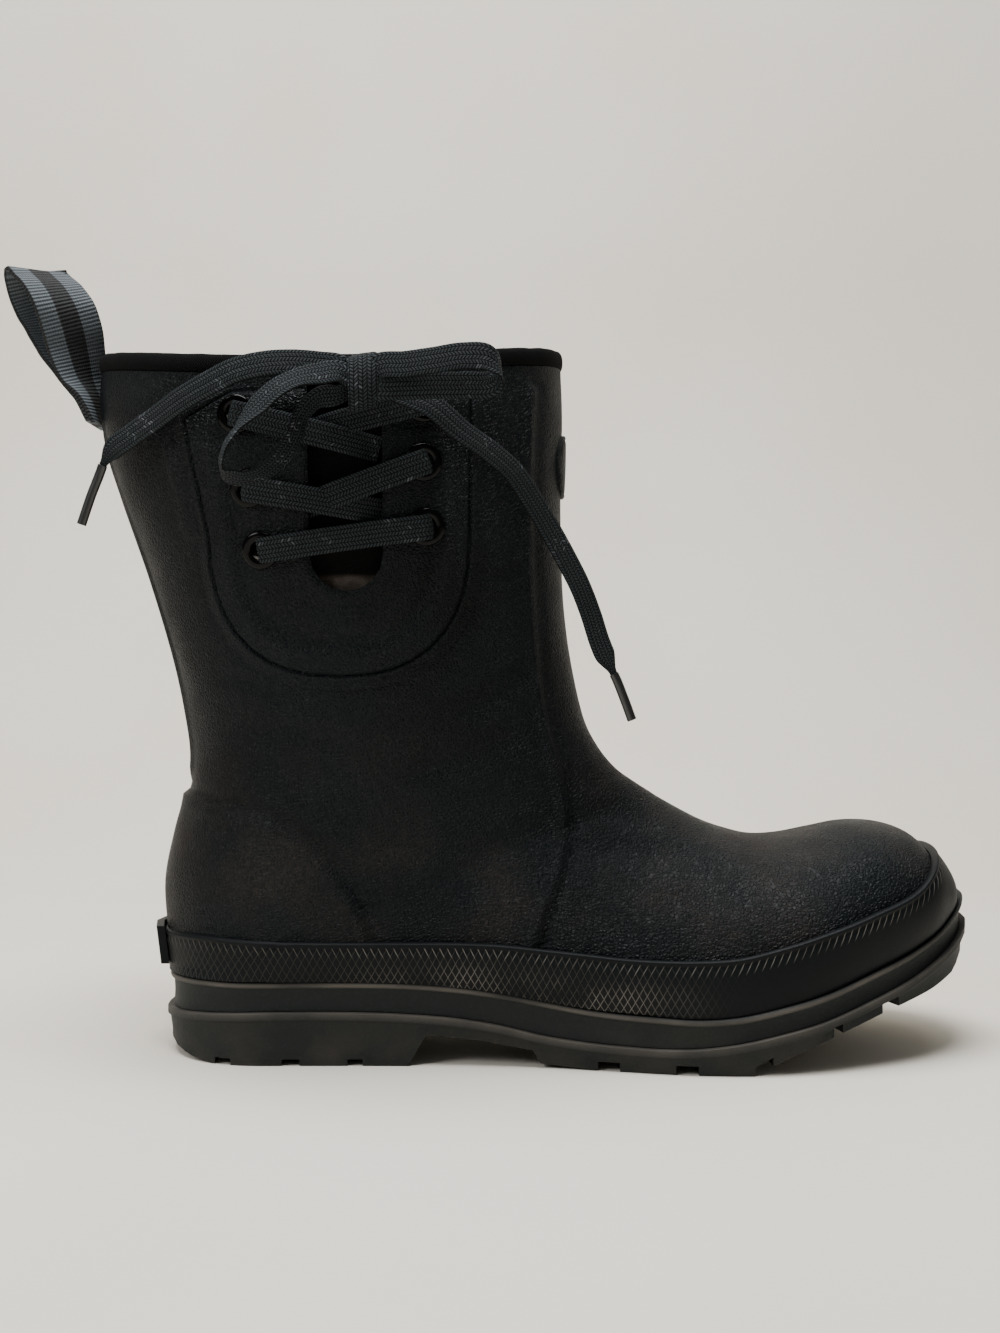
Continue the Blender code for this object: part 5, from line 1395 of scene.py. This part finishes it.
def dressed_lacing(tree, coat):
    """Bottom bar and the two crossings, on top of each other where they cross."""
    seat = EYELET_RIM + 0.0004
    spot = {row.name: (from_heel(row.x), row.z * HEIGHT) for row in EYELETS}
    pieces = {}
    for node, bands in (("lace_crossing_lower", LOWER_BANDS), ("lace_crossing_upper", UPPER_BANDS)):
        pieces[node] = []
        for band in bands:
            low = 0.0002 + band.level * LACE_THICK

            def rise(share, low=low):
                """Out of the slot, over its other edge and up on the eyelet."""
                out = (low + SLOT_DEPTH) * float(step_up(share - 0.17, 0.26)) - SLOT_DEPTH
                return out + (seat - low) * float(step_up(share - 0.76, 0.36))

            start = (from_heel(band.start_x), band.start_z * HEIGHT)
            title = f"{node}_{'over' if band.level else 'under'}"
            pieces[node].append(crossing(title, tree, start, spot[band.eyelet], rise, True, coat))
    bar_low = 0.0003

    def bar_rise(share):
        return bar_low + (seat - bar_low) * float(1 - step_up(share - 0.2, 0.25) * step_up(0.8 - share, 0.25))

    bar = crossing(
        "lace_bar", tree, spot["eyelet_back_bottom"], spot["eyelet_front_bottom"], bar_rise, False, coat
    )
    pieces["lace_bar_bottom"] = [bar]
    return pieces


def dressed_eyelet(name, place_at, axis, coat):
    """An enamelled eyelet: a round flange, rolled into its bore."""
    bore, barrel, rim = EYELET_BORE / 2, EYELET_BARREL / 2, EYELET_WIDTH / 2
    middle, half = (bore + rim) / 2, (rim - bore) / 2
    profile = [(bore, -PANEL - WALL)]
    for k in range(13):
        angle = pi - pi * k / 12
        profile.append((middle + half * cos(angle), 0.25 * MM + (EYELET_RIM - 0.25 * MM) * sin(angle) ** 0.75))
    profile += [(rim, 0.0), (barrel, 0.0), (barrel, -PANEL - WALL)]
    points, faces = [], []
    turn = Vector((0, 0, 1)).rotation_difference(axis)
    size = len(profile)
    for k in range(EYELET_SIDES_FINE):
        angle = 2 * pi * k / EYELET_SIDES_FINE
        points += [turn @ Vector((r * cos(angle), r * sin(angle), h)) + place_at for r, h in profile]
        after = (k + 1) % EYELET_SIDES_FINE
        for m in range(size):
            n = (m + 1) % size
            faces.append((k * size + m, after * size + m, after * size + n, k * size + n))
    return made(f"{name}_dressed", points, faces, coat)


def boot_point(route_point):
    x, y, z = route_point
    return Vector((x * MM - HEEL_SET, y * MM, z * MM))


# Direction that each free lace's face looks to, at each point of its route
FACING_END_BACK = [(0, -1, 0.25)] * 8 + [(-0.3, -1, 0.2)] * 4
FACING_END_FRONT = [(0.1, -1, 0.5)] * 5 + [(0.45, -1, 0.35)] * 5 + [(0.6, -1, 0.2)] * 4
FACING_LOOP_BACK = [(0, -1, 0.5)] * 3 + [(-0.3, -0.9, 0.6)] * 3 + [(-1, -0.35, 0.3)] * 3
FACING_LOOP_BACK += [(0, -0.5, -1)] * 3 + [(1, -0.6, -0.6)] * 5
FACING_LOOP_FRONT = [(0, -1, 0.15)] * 5 + [(1, -1, 0)] + [(1, 0.1, 0)] + [(0.5, 1, 0)] + [(0, 1, 0.1)] * 5
KNOT_HEART = (73.5, -61.5, 226.5)


def dressed_bow(lace_coat, tip_coat):
    """Two loops, and two free ends with their tips."""
    pieces = {}
    rows = [
        ("lace_loop_back", LOOP_BACK, FACING_LOOP_BACK, None, None),
        ("lace_loop_front", LOOP_FRONT, FACING_LOOP_FRONT, None, None),
        ("lace_end_back", END_BACK, FACING_END_BACK, "aglet_back", AGLET_BACK),
        ("lace_end_front", END_FRONT, FACING_END_FRONT, "aglet_front", AGLET_FRONT),
    ]
    for node, route, facing, tip_node, tip_route in rows:
        stops = [boot_point(p) for p in route]
        heart = boot_point(KNOT_HEART)
        # Each lace starts inside the knot, and a loop also ends there
        stops.insert(0, stops[0].lerp(heart, 0.5))
        if not tip_node:
            stops.append(stops[-1].lerp(heart, 0.5))
        frames = ribbon_frames(stops, [Vector(f).normalized() for f in facing])
        taper = lace_profile()
        obj = sweep(f"{node}_flat", frames, taper, lace_coat)
        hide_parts(node)
        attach(obj, "root")
        if tip_node:
            # The lace narrows into its tip
            mesh = obj.data
            size = len(taper)
            count = len(frames)
            for k in range(count):
                left = (count - 1 - k) * 0.9 * MM
                squeeze = 0.32 + 0.68 * float(step_up(left - 4 * MM, 8 * MM))
                centre, wide, _ = frames[k]
                for m in range(size):
                    vertex = mesh.vertices[k * size + m]
                    reach = (vertex.co - centre).dot(wide)
                    vertex.co -= wide * reach * (1 - squeeze)
            tip_stops = [stops[-1].lerp(boot_point(tip_route[0]), 0.0), *(boot_point(p) for p in tip_route)]
            tip_frames = ribbon_frames(tip_stops, [Vector(facing[-1]).normalized()] * len(tip_stops))
            radius = AGLET_DIAMETER / 2
            ring = [(radius * cos(a), radius * 0.85 * sin(a)) for a in np.linspace(0, 2 * pi, 20, endpoint=False)]
            tip = sweep(f"{tip_node}_film", tip_frames, ring, tip_coat)
            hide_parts(tip_node)
            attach(tip, "root")
        reach = sum((b[0] - a[0]).length for a, b in zip(frames, frames[1:]))
        pieces[node] = obj
    return pieces


LIP_ROWS = [0.0, 0.12, 0.3, 0.55, 0.85, 1.15, 1.5, 1.9, 2.4, 3.2]
FOXING_STEP = 1.3 * MM
WALK_IN = 0.026


def perimeter(step, heel_inset, toe_inset):
    """Closed ring of places round the foot: point on the sole's outline, inward direction, metres
    along it from the toe. It runs from the toe along the outer side to the heel and back inside."""
    shares = 0.5 - 0.5 * np.cos(np.linspace(0, pi, 500))
    outer = [edge_point(share, -1, heel_inset, toe_inset) for share in shares[::-1]]
    inner = [edge_point(share, 1, heel_inset, toe_inset) for share in shares[1:-1]]
    line = np.array(outer + inner)
    closed = np.vstack([line, line[:1]])
    lengths = np.concatenate([[0], np.cumsum(np.linalg.norm(np.diff(closed, axis=0), axis=1))])
    count = int(lengths[-1] / step)
    at = np.arange(count) * lengths[-1] / count
    spots = np.column_stack([np.interp(at, lengths, closed[:, k]) for k in (0, 1)])
    along = np.roll(spots, -2, axis=0) - np.roll(spots, 2, axis=0)
    along /= np.linalg.norm(along, axis=1, keepdims=True)
    inward = np.column_stack([along[:, 1], -along[:, 0]])
    middle = spots.mean(axis=0)
    if ((middle - spots) * inward).sum() < 0:
        inward = -inward
    return spots, inward, at


def foxing_band(tree, coat):
    """The rubber band round the upper's foot. Its face carries the knurl of its finish, and its top
    edge is rolled and has a thin raised line."""
    spots, inward, along = perimeter(FOXING_STEP, FEATHER_INSET_HEEL, FEATHER_INSET_TOE)
    line = np.array(foxing_top_line())
    fine = fine_line(line, 10)

    def at_angle(k, angle):
        """Where a ray from inside, tilted up by an angle, meets the skin."""
        start = Vector((*(spots[k] + inward[k] * WALK_IN), feather_line(spots[k][0]) + GAP))
        way = Vector((*(-inward[k] * cos(angle)), sin(angle)))
        return tree.ray_cast(start, way)[0]

    walks = []
    for k in range(len(spots)):
        walk = []
        for angle in np.linspace(0.012, 1.45, 60):
            hit = at_angle(k, angle)
            if hit is None:
                continue
            top = float(np.interp(hit.x, fine[:, 0], fine[:, 1]))
            if hit.z >= top:
                if walk:
                    last = walk[-1]
                    last_top = float(np.interp(last[0], fine[:, 0], fine[:, 1]))
                    share = (last_top - last[2]) / max(1e-9, (last_top - last[2]) + (hit.z - top))
                    walk.append(tuple(Vector(last).lerp(hit, share)))
                break
            walk.append(tuple(hit))
        foot = (*spots[k], feather_line(spots[k][0]) + GAP)
        walks.append(np.array([foot, *walk[1:]]))
    high = np.array([np.linalg.norm(np.diff(w, axis=0), axis=1).sum() for w in walks])
    below = np.array(LIP_ROWS) * MM
    plain = np.linspace(0, 1, 12)[1:]
    base, down = [], []
    for walk, tall in zip(walks, high):
        lengths = np.concatenate([[0], np.cumsum(np.linalg.norm(np.diff(walk, axis=0), axis=1))])
        under = np.concatenate([below, below[-1] + (tall - below[-1]) * plain])
        base.append([[np.interp(tall - d, lengths, walk[:, c]) for c in range(3)] for d in under])
        down.append(under)
    base, down = np.array(base), np.array(down)
    over = np.roll(base, -1, axis=0) - np.roll(base, 1, axis=0)
    out = np.cross(over, np.gradient(base, axis=1))
    out /= np.maximum(np.linalg.norm(out, axis=2, keepdims=True), 1e-12)
    out *= -np.sign((out[..., :2] * inward[:, None]).sum(axis=2))[..., None]
    for _ in range(3):
        out = (np.roll(out, 1, axis=0) + out + np.roll(out, -1, axis=0)) / 3
    rise = FOXING * (0.35 + 0.65 * np.sqrt(np.clip(1 - (1 - np.clip(down / 0.0009, 0, 1)) ** 2, 0, 1)))
    rise += 0.0003 * ridge(down - 0.0011, 0.0011) - 0.00035 * ridge(down - 0.0023, 0.0012)
    face = base + out * (GAP + rise)[..., None]
    back = base + out * GAP
    face[:, -1, 2] = back[:, -1, 2] = base[:, -1, 2]
    count, rows = base.shape[:2]
    points = np.concatenate([face.reshape(-1, 3), back.reshape(-1, 3)])
    start = count * rows
    faces, uvs = [], []
    whole = along[1] * count
    for k in range(count):
        after = (k + 1) % count
        u0, u1 = along[k], along[k] + along[1]
        for m in range(rows - 1):
            faces.append((k * rows + m, k * rows + m + 1, after * rows + m + 1, after * rows + m))
            uvs += [(u0, down[k, m]), (u0, down[k, m + 1]), (u1, down[after, m + 1]), (u1, down[after, m])]
        faces.append((k * rows, after * rows, start + after * rows, start + k * rows))
        uvs += [(u0, 0), (u1, 0), (u1, 0), (u0, 0)]
        low = rows - 1
        faces.append((k * rows + low, start + k * rows + low, start + after * rows + low, after * rows + low))
        uvs += [(u0, 0.02)] * 4
        for m in range(rows - 1):
            faces.append(tuple(start + i for i in (k * rows + m, after * rows + m, after * rows + m + 1, k * rows + m + 1)))
            uvs += [(u0, 0.02)] * 4
    return mapped("foxing_band", points, faces, uvs, coat)


def mapped(name, points, faces, uvs, coat, sharp=radians(45)):
    """A closed object that keeps metres along and across its face as its UV map."""
    mesh = bpy.data.meshes.new(name)
    mesh.from_pydata([tuple(p) for p in points], [], faces)
    layer = mesh.uv_layers.new(name="UVMap")
    layer.data.foreach_set("uv", np.array(uvs, float).ravel())
    shape = bmesh.new()
    shape.from_mesh(mesh)
    bmesh.ops.recalc_face_normals(shape, faces=shape.faces)
    shape.to_mesh(mesh)
    shape.free()
    return place(name, mesh, coat, sharp)


def dense_shares(step):
    """The shares of the sole's rings, with even steps between them."""
    rough = layer_shares()
    shares = [0.0]
    for a, b in zip(rough, rough[1:]):
        pieces = max(1, round((b - a) * LENGTH / step))
        shares += [a + (b - a) * k / pieces for k in range(1, pieces + 1)]
    # Close together at the round ends
    ends = [0.0015, 0.003]
    return sorted({*shares, *ends, *(1 - e for e in ends)})


def rim_mark(obj, height_at, width):
    """Marks how near each point is to a line of the sole's side, for a paler rim."""
    mesh = obj.data
    marks = []
    for vertex in mesh.vertices:
        marks.append(max(0.0, 1 - abs(vertex.co.z - height_at(vertex.co.x)) / width))
    layer = mesh.attributes.new("raised", "FLOAT", "POINT")
    layer.data.foreach_set("value", marks)


def dressed_midsole(coat):
    """The layer under the upper: a round bead along its top and a recessed band under it."""
    shares = dense_shares(1.6 * MM)
    inner, low_edge = BAND_RECESS, GAP

    def feather(x):
        return feather_line(x)

    levels = [(inner, lambda x, s: side_line("ledge", x) + low_edge)]
    for share in (0.15, 0.35, 0.6, 0.85):
        levels.append((inner + 0.0003 * sin(pi * share), lambda x, s, share=share: (
            (side_line("ledge", x) + low_edge) * (1 - share) + (feather(x) - BEAD_HEIGHT) * share)))
    levels.append((inner - 0.0002, lambda x, s: feather(x) - BEAD_HEIGHT))
    for k in range(9):
        angle = -pi / 2 + pi * k / 8
        out = inner - 0.0004 - (inner - 0.0004 - BEAD_INSET) * cos(angle) ** 0.7
        levels.append((out, lambda x, s, a=angle: feather(x) - BEAD_HEIGHT / 2 + BEAD_HEIGHT / 2 * 0.96 * sin(a)))
    rings = [layer_ring(shares, inset, height) for inset, height in levels]
    points = [point for ring in rings for point in ring]
    count = len(rings[0])
    faces = [*across(shares, (len(rings) - 1) * count), *across(shares, 0)]
    for low in range(len(rings) - 1):
        for k in range(count):
            after = (k + 1) % count
            faces.append((low * count + k, low * count + after, (low + 1) * count + after, (low + 1) * count + k))
    obj = made("midsole_dressed", points, faces, coat, radians(50))
    rim_mark(obj, lambda x: feather(x) - BEAD_HEIGHT / 2, 0.0016)
    return obj


def dressed_outsole(coat):
    """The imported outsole's shape from dense rings, with rounded lugs and ledge."""
    obj = outsole_shape(dense_shares(3.0 * MM), coat)
    rim_mark(obj, lambda x: side_line("ledge", x) - 0.0008, 0.0026)
    bevel = obj.modifiers.new("rounded edges", "BEVEL")
    bevel.width = 0.6 * MM
    bevel.segments = 3
    bevel.limit_method = "ANGLE"
    bevel.angle_limit = radians(38)
    bevel.use_clamp_overlap = True
    bevel.harden_normals = False
    return obj


def dressed_collar(skin, coat):
    """A padded knit band folded over the rim, a little fuller in places."""
    outer, inner = skin.moved(0.0)[0], skin.moved(-WALL)[0]
    wide = 2 * skin.columns
    half = BINDING / 2
    profile = []
    for k in range(22):
        angle = 2 * pi * k / 22
        profile.append((half * 1.02 * np.sign(cos(angle)) * abs(cos(angle)) ** 0.75,
                        BINDING_HEIGHT / 2 * (1 + np.sign(sin(angle)) * abs(sin(angle)) ** 0.8)))
    frames = []
    for j in range(wide):
        middle = Vector((outer[j] + inner[j]) / 2)
        middle.z = min(outer[j][2], inner[j][2])
        out = Vector((*skin.normals[0, j][:2], 0)).normalized()
        swell = 1 + 0.04 * noise.noise(Vector((j * 0.35, 0, 0)))
        frames.append((middle, out * swell, Vector((0, 0, 1)) * swell))
    return sweep("collar_band", frames, profile, coat, closed=True, around=True)


def dressed_loop(coat):
    """Webbing that comes up from its sewn foot, opens to a loop and folds over at the top."""
    front, rear = [], []
    for row in PULL_LOOP:
        turn = radians(row.turn)
        middle = Vector((from_heel(row.x), 0, row.z * HEIGHT))
        apart = Vector((cos(turn), -sin(turn), 0))
        wide = Vector((sin(turn), cos(turn), 0))
        reach = row.apart / 2 * WEBBING
        front.append((middle + apart * reach, apart, wide))
        rear.append((middle - apart * reach, -apart, wide))
    top_middle, top_apart, top_wide = front[-1][0], front[-1][1], front[-1][2]
    middle = (front[-1][0] + rear[-1][0]) / 2
    crown = middle + Vector((-1.1 * WEBBING, 0, 1.85 * WEBBING))
    path = [*front, (crown, Vector((0, 0, 1)), top_wide), *rear[::-1]]
    stops = [p for p, _, _ in path]
    lengths = np.cumsum([0.0] + [(b - a).length for a, b in zip(stops, stops[1:])])
    count = 130
    wides = np.array([tuple(w) for _, _, w in path])
    centres = [Vector(smooth(at, lengths, [tuple(p) for p in stops])) for at in np.linspace(0, lengths[-1], count)]
    frames = []
    for k, centre in enumerate(centres):
        at = lengths[-1] * k / (count - 1)
        wide = Vector([float(np.interp(at, lengths, wides[:, c])) for c in range(3)]).normalized()
        along = (centres[min(k + 1, count - 1)] - centres[max(k - 1, 0)]).normalized()
        wide = (wide - along * wide.dot(along)).normalized()
        frames.append((centre, wide, wide.cross(along)))
    half, rise = WEBBING_WIDTH / 2, WEBBING / 2 * 0.92
    top = [(half * s, rise) for s in np.linspace(0.97, -0.97, 23)]
    profile = top + [(-half, rise * 0.3), (-half, -rise * 0.3)]
    profile += [(-a, -b) for a, b in top] + [(half, -rise * 0.3), (half, rise * 0.3)]
    return sweep("loop_webbing_strap", frames, profile, coat)


def dressed_badge(tree, coat):
    """A plain raised oval on the front of the shaft, domed a little inside a flat rim."""
    height = BADGE_HEIGHT_SHARE * HEIGHT
    rings, sides = 14, 72
    levels = []
    for k in range(rings + 1):
        share = k / rings
        rise = BADGE * (1.0 - 0.3 * ridge(share - 0.86, 0.10) + 0.18 * (1 - min(1.0, share / 0.8) ** 2))
        if share > 0.94:
            rise = BADGE * (1 - ((share - 0.94) / 0.06) ** 2 * 0.55)
        levels.append((share, rise))
    levels.append((1.0, -0.0004))
    points = []
    for share, rise in levels:
        for k in range(sides):
            angle = 2 * pi * k / sides
            y = BADGE_WIDTH / 2 * share * cos(angle)
            z = height + BADGE_HEIGHT / 2 * share * sin(angle)
            hit = tree.ray_cast(Vector((from_heel(0.7), y, z)), Vector((-1, 0, 0)))
            spot, out = hit[0], hit[1]
            out = Vector((abs(out.x), out.y * 0.9, 0)).normalized()
            points.append(spot + out * (GAP + float(rise)))
    count = len(levels)
    faces = []
    for m in range(count - 1):
        for k in range(sides):
            after = (k + 1) % sides
            faces.append((m * sides + k, m * sides + after, (m + 1) * sides + after, (m + 1) * sides + k))
    faces.append(tuple((count - 1) * sides + k for k in range(sides)))
    return made("front_oval", points, faces, coat)


def knot_wrap(coat):
    """The lace wrapped once round the crossing of the bow, wide and slightly pillowed."""
    stops = [boot_point(p) for p in KNOT]
    top, foot = stops[-1], stops[0]
    middle = (top + foot) / 2
    frames = []
    turns = 64
    for k in range(turns):
        angle = 2 * pi * k / turns
        # Round the strands, which run along X
        out = Vector((0, -sin(angle), cos(angle)))
        reach = Vector((0, -sin(angle) * KNOT_DIAMETER * 0.46, cos(angle) * (top - foot).length * 0.46))
        slip = Vector((0.0016 * sin(angle * 0.5 + 0.6), 0, 0))
        frames.append((middle + reach + slip, Vector((1, 0, 0.22)).normalized(), out))
    profile = lace_profile(width=LACE_WIDTH * 1.15, thick=0.0022)
    return sweep("lace_knot_wrap", frames, profile, coat, closed=True)


def gentle_edges(node, width):
    """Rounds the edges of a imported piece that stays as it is."""
    obj = NODES[node]
    bevel = obj.modifiers.new("rounded edges", "BEVEL")
    bevel.width = width
    bevel.segments = 3
    bevel.limit_method = "ANGLE"
    bevel.angle_limit = radians(35)
    return obj


def stage(paint):
    """A pale floor that rises in a wide curve to a pale wall."""
    radius, back, side, top = 0.45, 0.75, 2.2, 1.9
    line = [(-1.4, 0.0), (back - radius, 0.0)]
    line += [(back - radius + radius * sin(a), radius - radius * cos(a)) for a in np.linspace(0.05, pi / 2, 24)]
    line += [(back, top)]
    points = [(x, y, z) for x in (-side, side) for y, z in line]
    count = len(line)
    faces = [(k, k + 1, k + 1 + count, k + count) for k in range(count - 1)]
    mesh = bpy.data.meshes.new("studio_sweep")
    mesh.from_pydata(points, [], faces)
    obj = place("studio_sweep", mesh, paint)
    return obj


def soft_light(name, place_at, target, size, watts, tone="#ffffff"):
    data = bpy.data.lights.new(name, "AREA")
    data.shape = "RECTANGLE"
    data.size, data.size_y = size
    data.energy = watts
    data.color = linear(tone)[:3]
    obj = bpy.data.objects.new(name, data)
    obj.location = place_at
    obj.rotation_euler = (Vector(target) - Vector(place_at)).to_track_quat("-Z", "Y").to_euler()
    bpy.context.scene.collection.objects.link(obj)


def studio():
    soft_light("overhead softbox", (-0.05, -0.2, 1.2), (0.05, 0.0, 0.1), (0.7, 0.5), 22)
    soft_light("left softbox", (-0.95, -0.75, 0.85), (0.05, 0.0, 0.1), (0.5, 0.5), 9)
    soft_light("wall softbox", (0.1, 0.15, 1.7), (0.1, 0.75, 0.35), (1.6, 0.5), 12)
    world = bpy.data.worlds.new("soft room")
    world.use_nodes = True
    background = world.node_tree.nodes["Background"]
    background.inputs["Color"].default_value = linear("#f2f1ee")
    background.inputs["Strength"].default_value = 0.18
    bpy.context.scene.world = world


def camera():
    """Level with the shaft, square to the outer side, as the photograph was taken."""
    data = bpy.data.cameras.new("camera")
    data.lens = 1600 / 1333 * 36
    data.sensor_width = 36
    obj = bpy.data.objects.new("camera", data)
    obj.location = (0.0605, -0.574, 0.1425)
    obj.rotation_euler = (pi / 2 - atan(21.5 / 1600), 0, 0)
    bpy.context.scene.collection.objects.link(obj)
    bpy.context.scene.camera = obj


def stand_in(obj, slot, *nodes):
    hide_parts(*nodes)
    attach(obj, "root")


camera()
studio()
stage(matt_paint("pale studio paint", "#dbd5c9", 0.9))

UPPER_RUBBER = grained_rubber("grained black rubber", "#090f12", 0.30)
PANEL_RUBBER = grained_rubber("grained panel rubber", "#090f12", 0.0)
FOXING_RUBBER = knurled_rubber()
SOLE_RUBBER = sole_rubber()
KNIT = edge_knit()
LACE = braided_lace()
TIP = tip_film()
ENAMEL = black_enamel()

fine_skin = FineSkin(SHAFT_ROWS_FINE, FOOT_ROWS_FINE, COLUMNS_FINE)
skin_tree = fine_skin.tree(0.0)
panel_tree = fine_skin.tree(GAP + PANEL)
SEATS = {row.name: side_frame(panel_tree, from_heel(row.x), row.z * HEIGHT) for row in EYELETS}

bow = dressed_bow(LACE, TIP)
stand_in(knot_wrap(LACE), "lace_cloth", "lace_knot")
stand_in(
    dressed_upper(fine_skin, UPPER_RUBBER), "upper_rubber",
    "upper", "heel_counter", "backstay", "front_seam_outer", "front_seam_inner", "side_strip",
)
stand_in(dressed_panel(fine_skin.tree(GAP), PANEL_RUBBER), "upper_rubber", "lace_panel")
stand_in(dressed_badge(skin_tree, UPPER_RUBBER), "upper_rubber", "front_badge")
stand_in(foxing_band(skin_tree, FOXING_RUBBER), "foxing_rubber", "foxing")
stand_in(dressed_midsole(SOLE_RUBBER), "sole_rubber", "midsole")
stand_in(dressed_outsole(SOLE_RUBBER), "sole_rubber", "outsole")
stand_in(dressed_collar(fine_skin, KNIT), "binding_knit", "collar_binding")
stand_in(dressed_loop(striped_webbing()), "loop_webbing", "pull_loop")
for name, (place_at, axis) in SEATS.items():
    stand_in(dressed_eyelet(name, place_at, axis, ENAMEL), "eyelet_metal", name)
for node, pieces in dressed_lacing(panel_tree, LACE).items():
    for piece in pieces:
        stand_in(piece, "lace_cloth", node)
for node, coat in (("gusset", gusset_nylon()), ("insole", brushed_felt()), ("heel_kick_tab", FOXING_RUBBER)):
    NODES[node].data.materials.clear()
    NODES[node].data.materials.append(coat)
gentle_edges("heel_kick_tab", 0.5 * MM)
drop(*[obj for obj in bpy.data.objects if obj.name.endswith("_tool")])
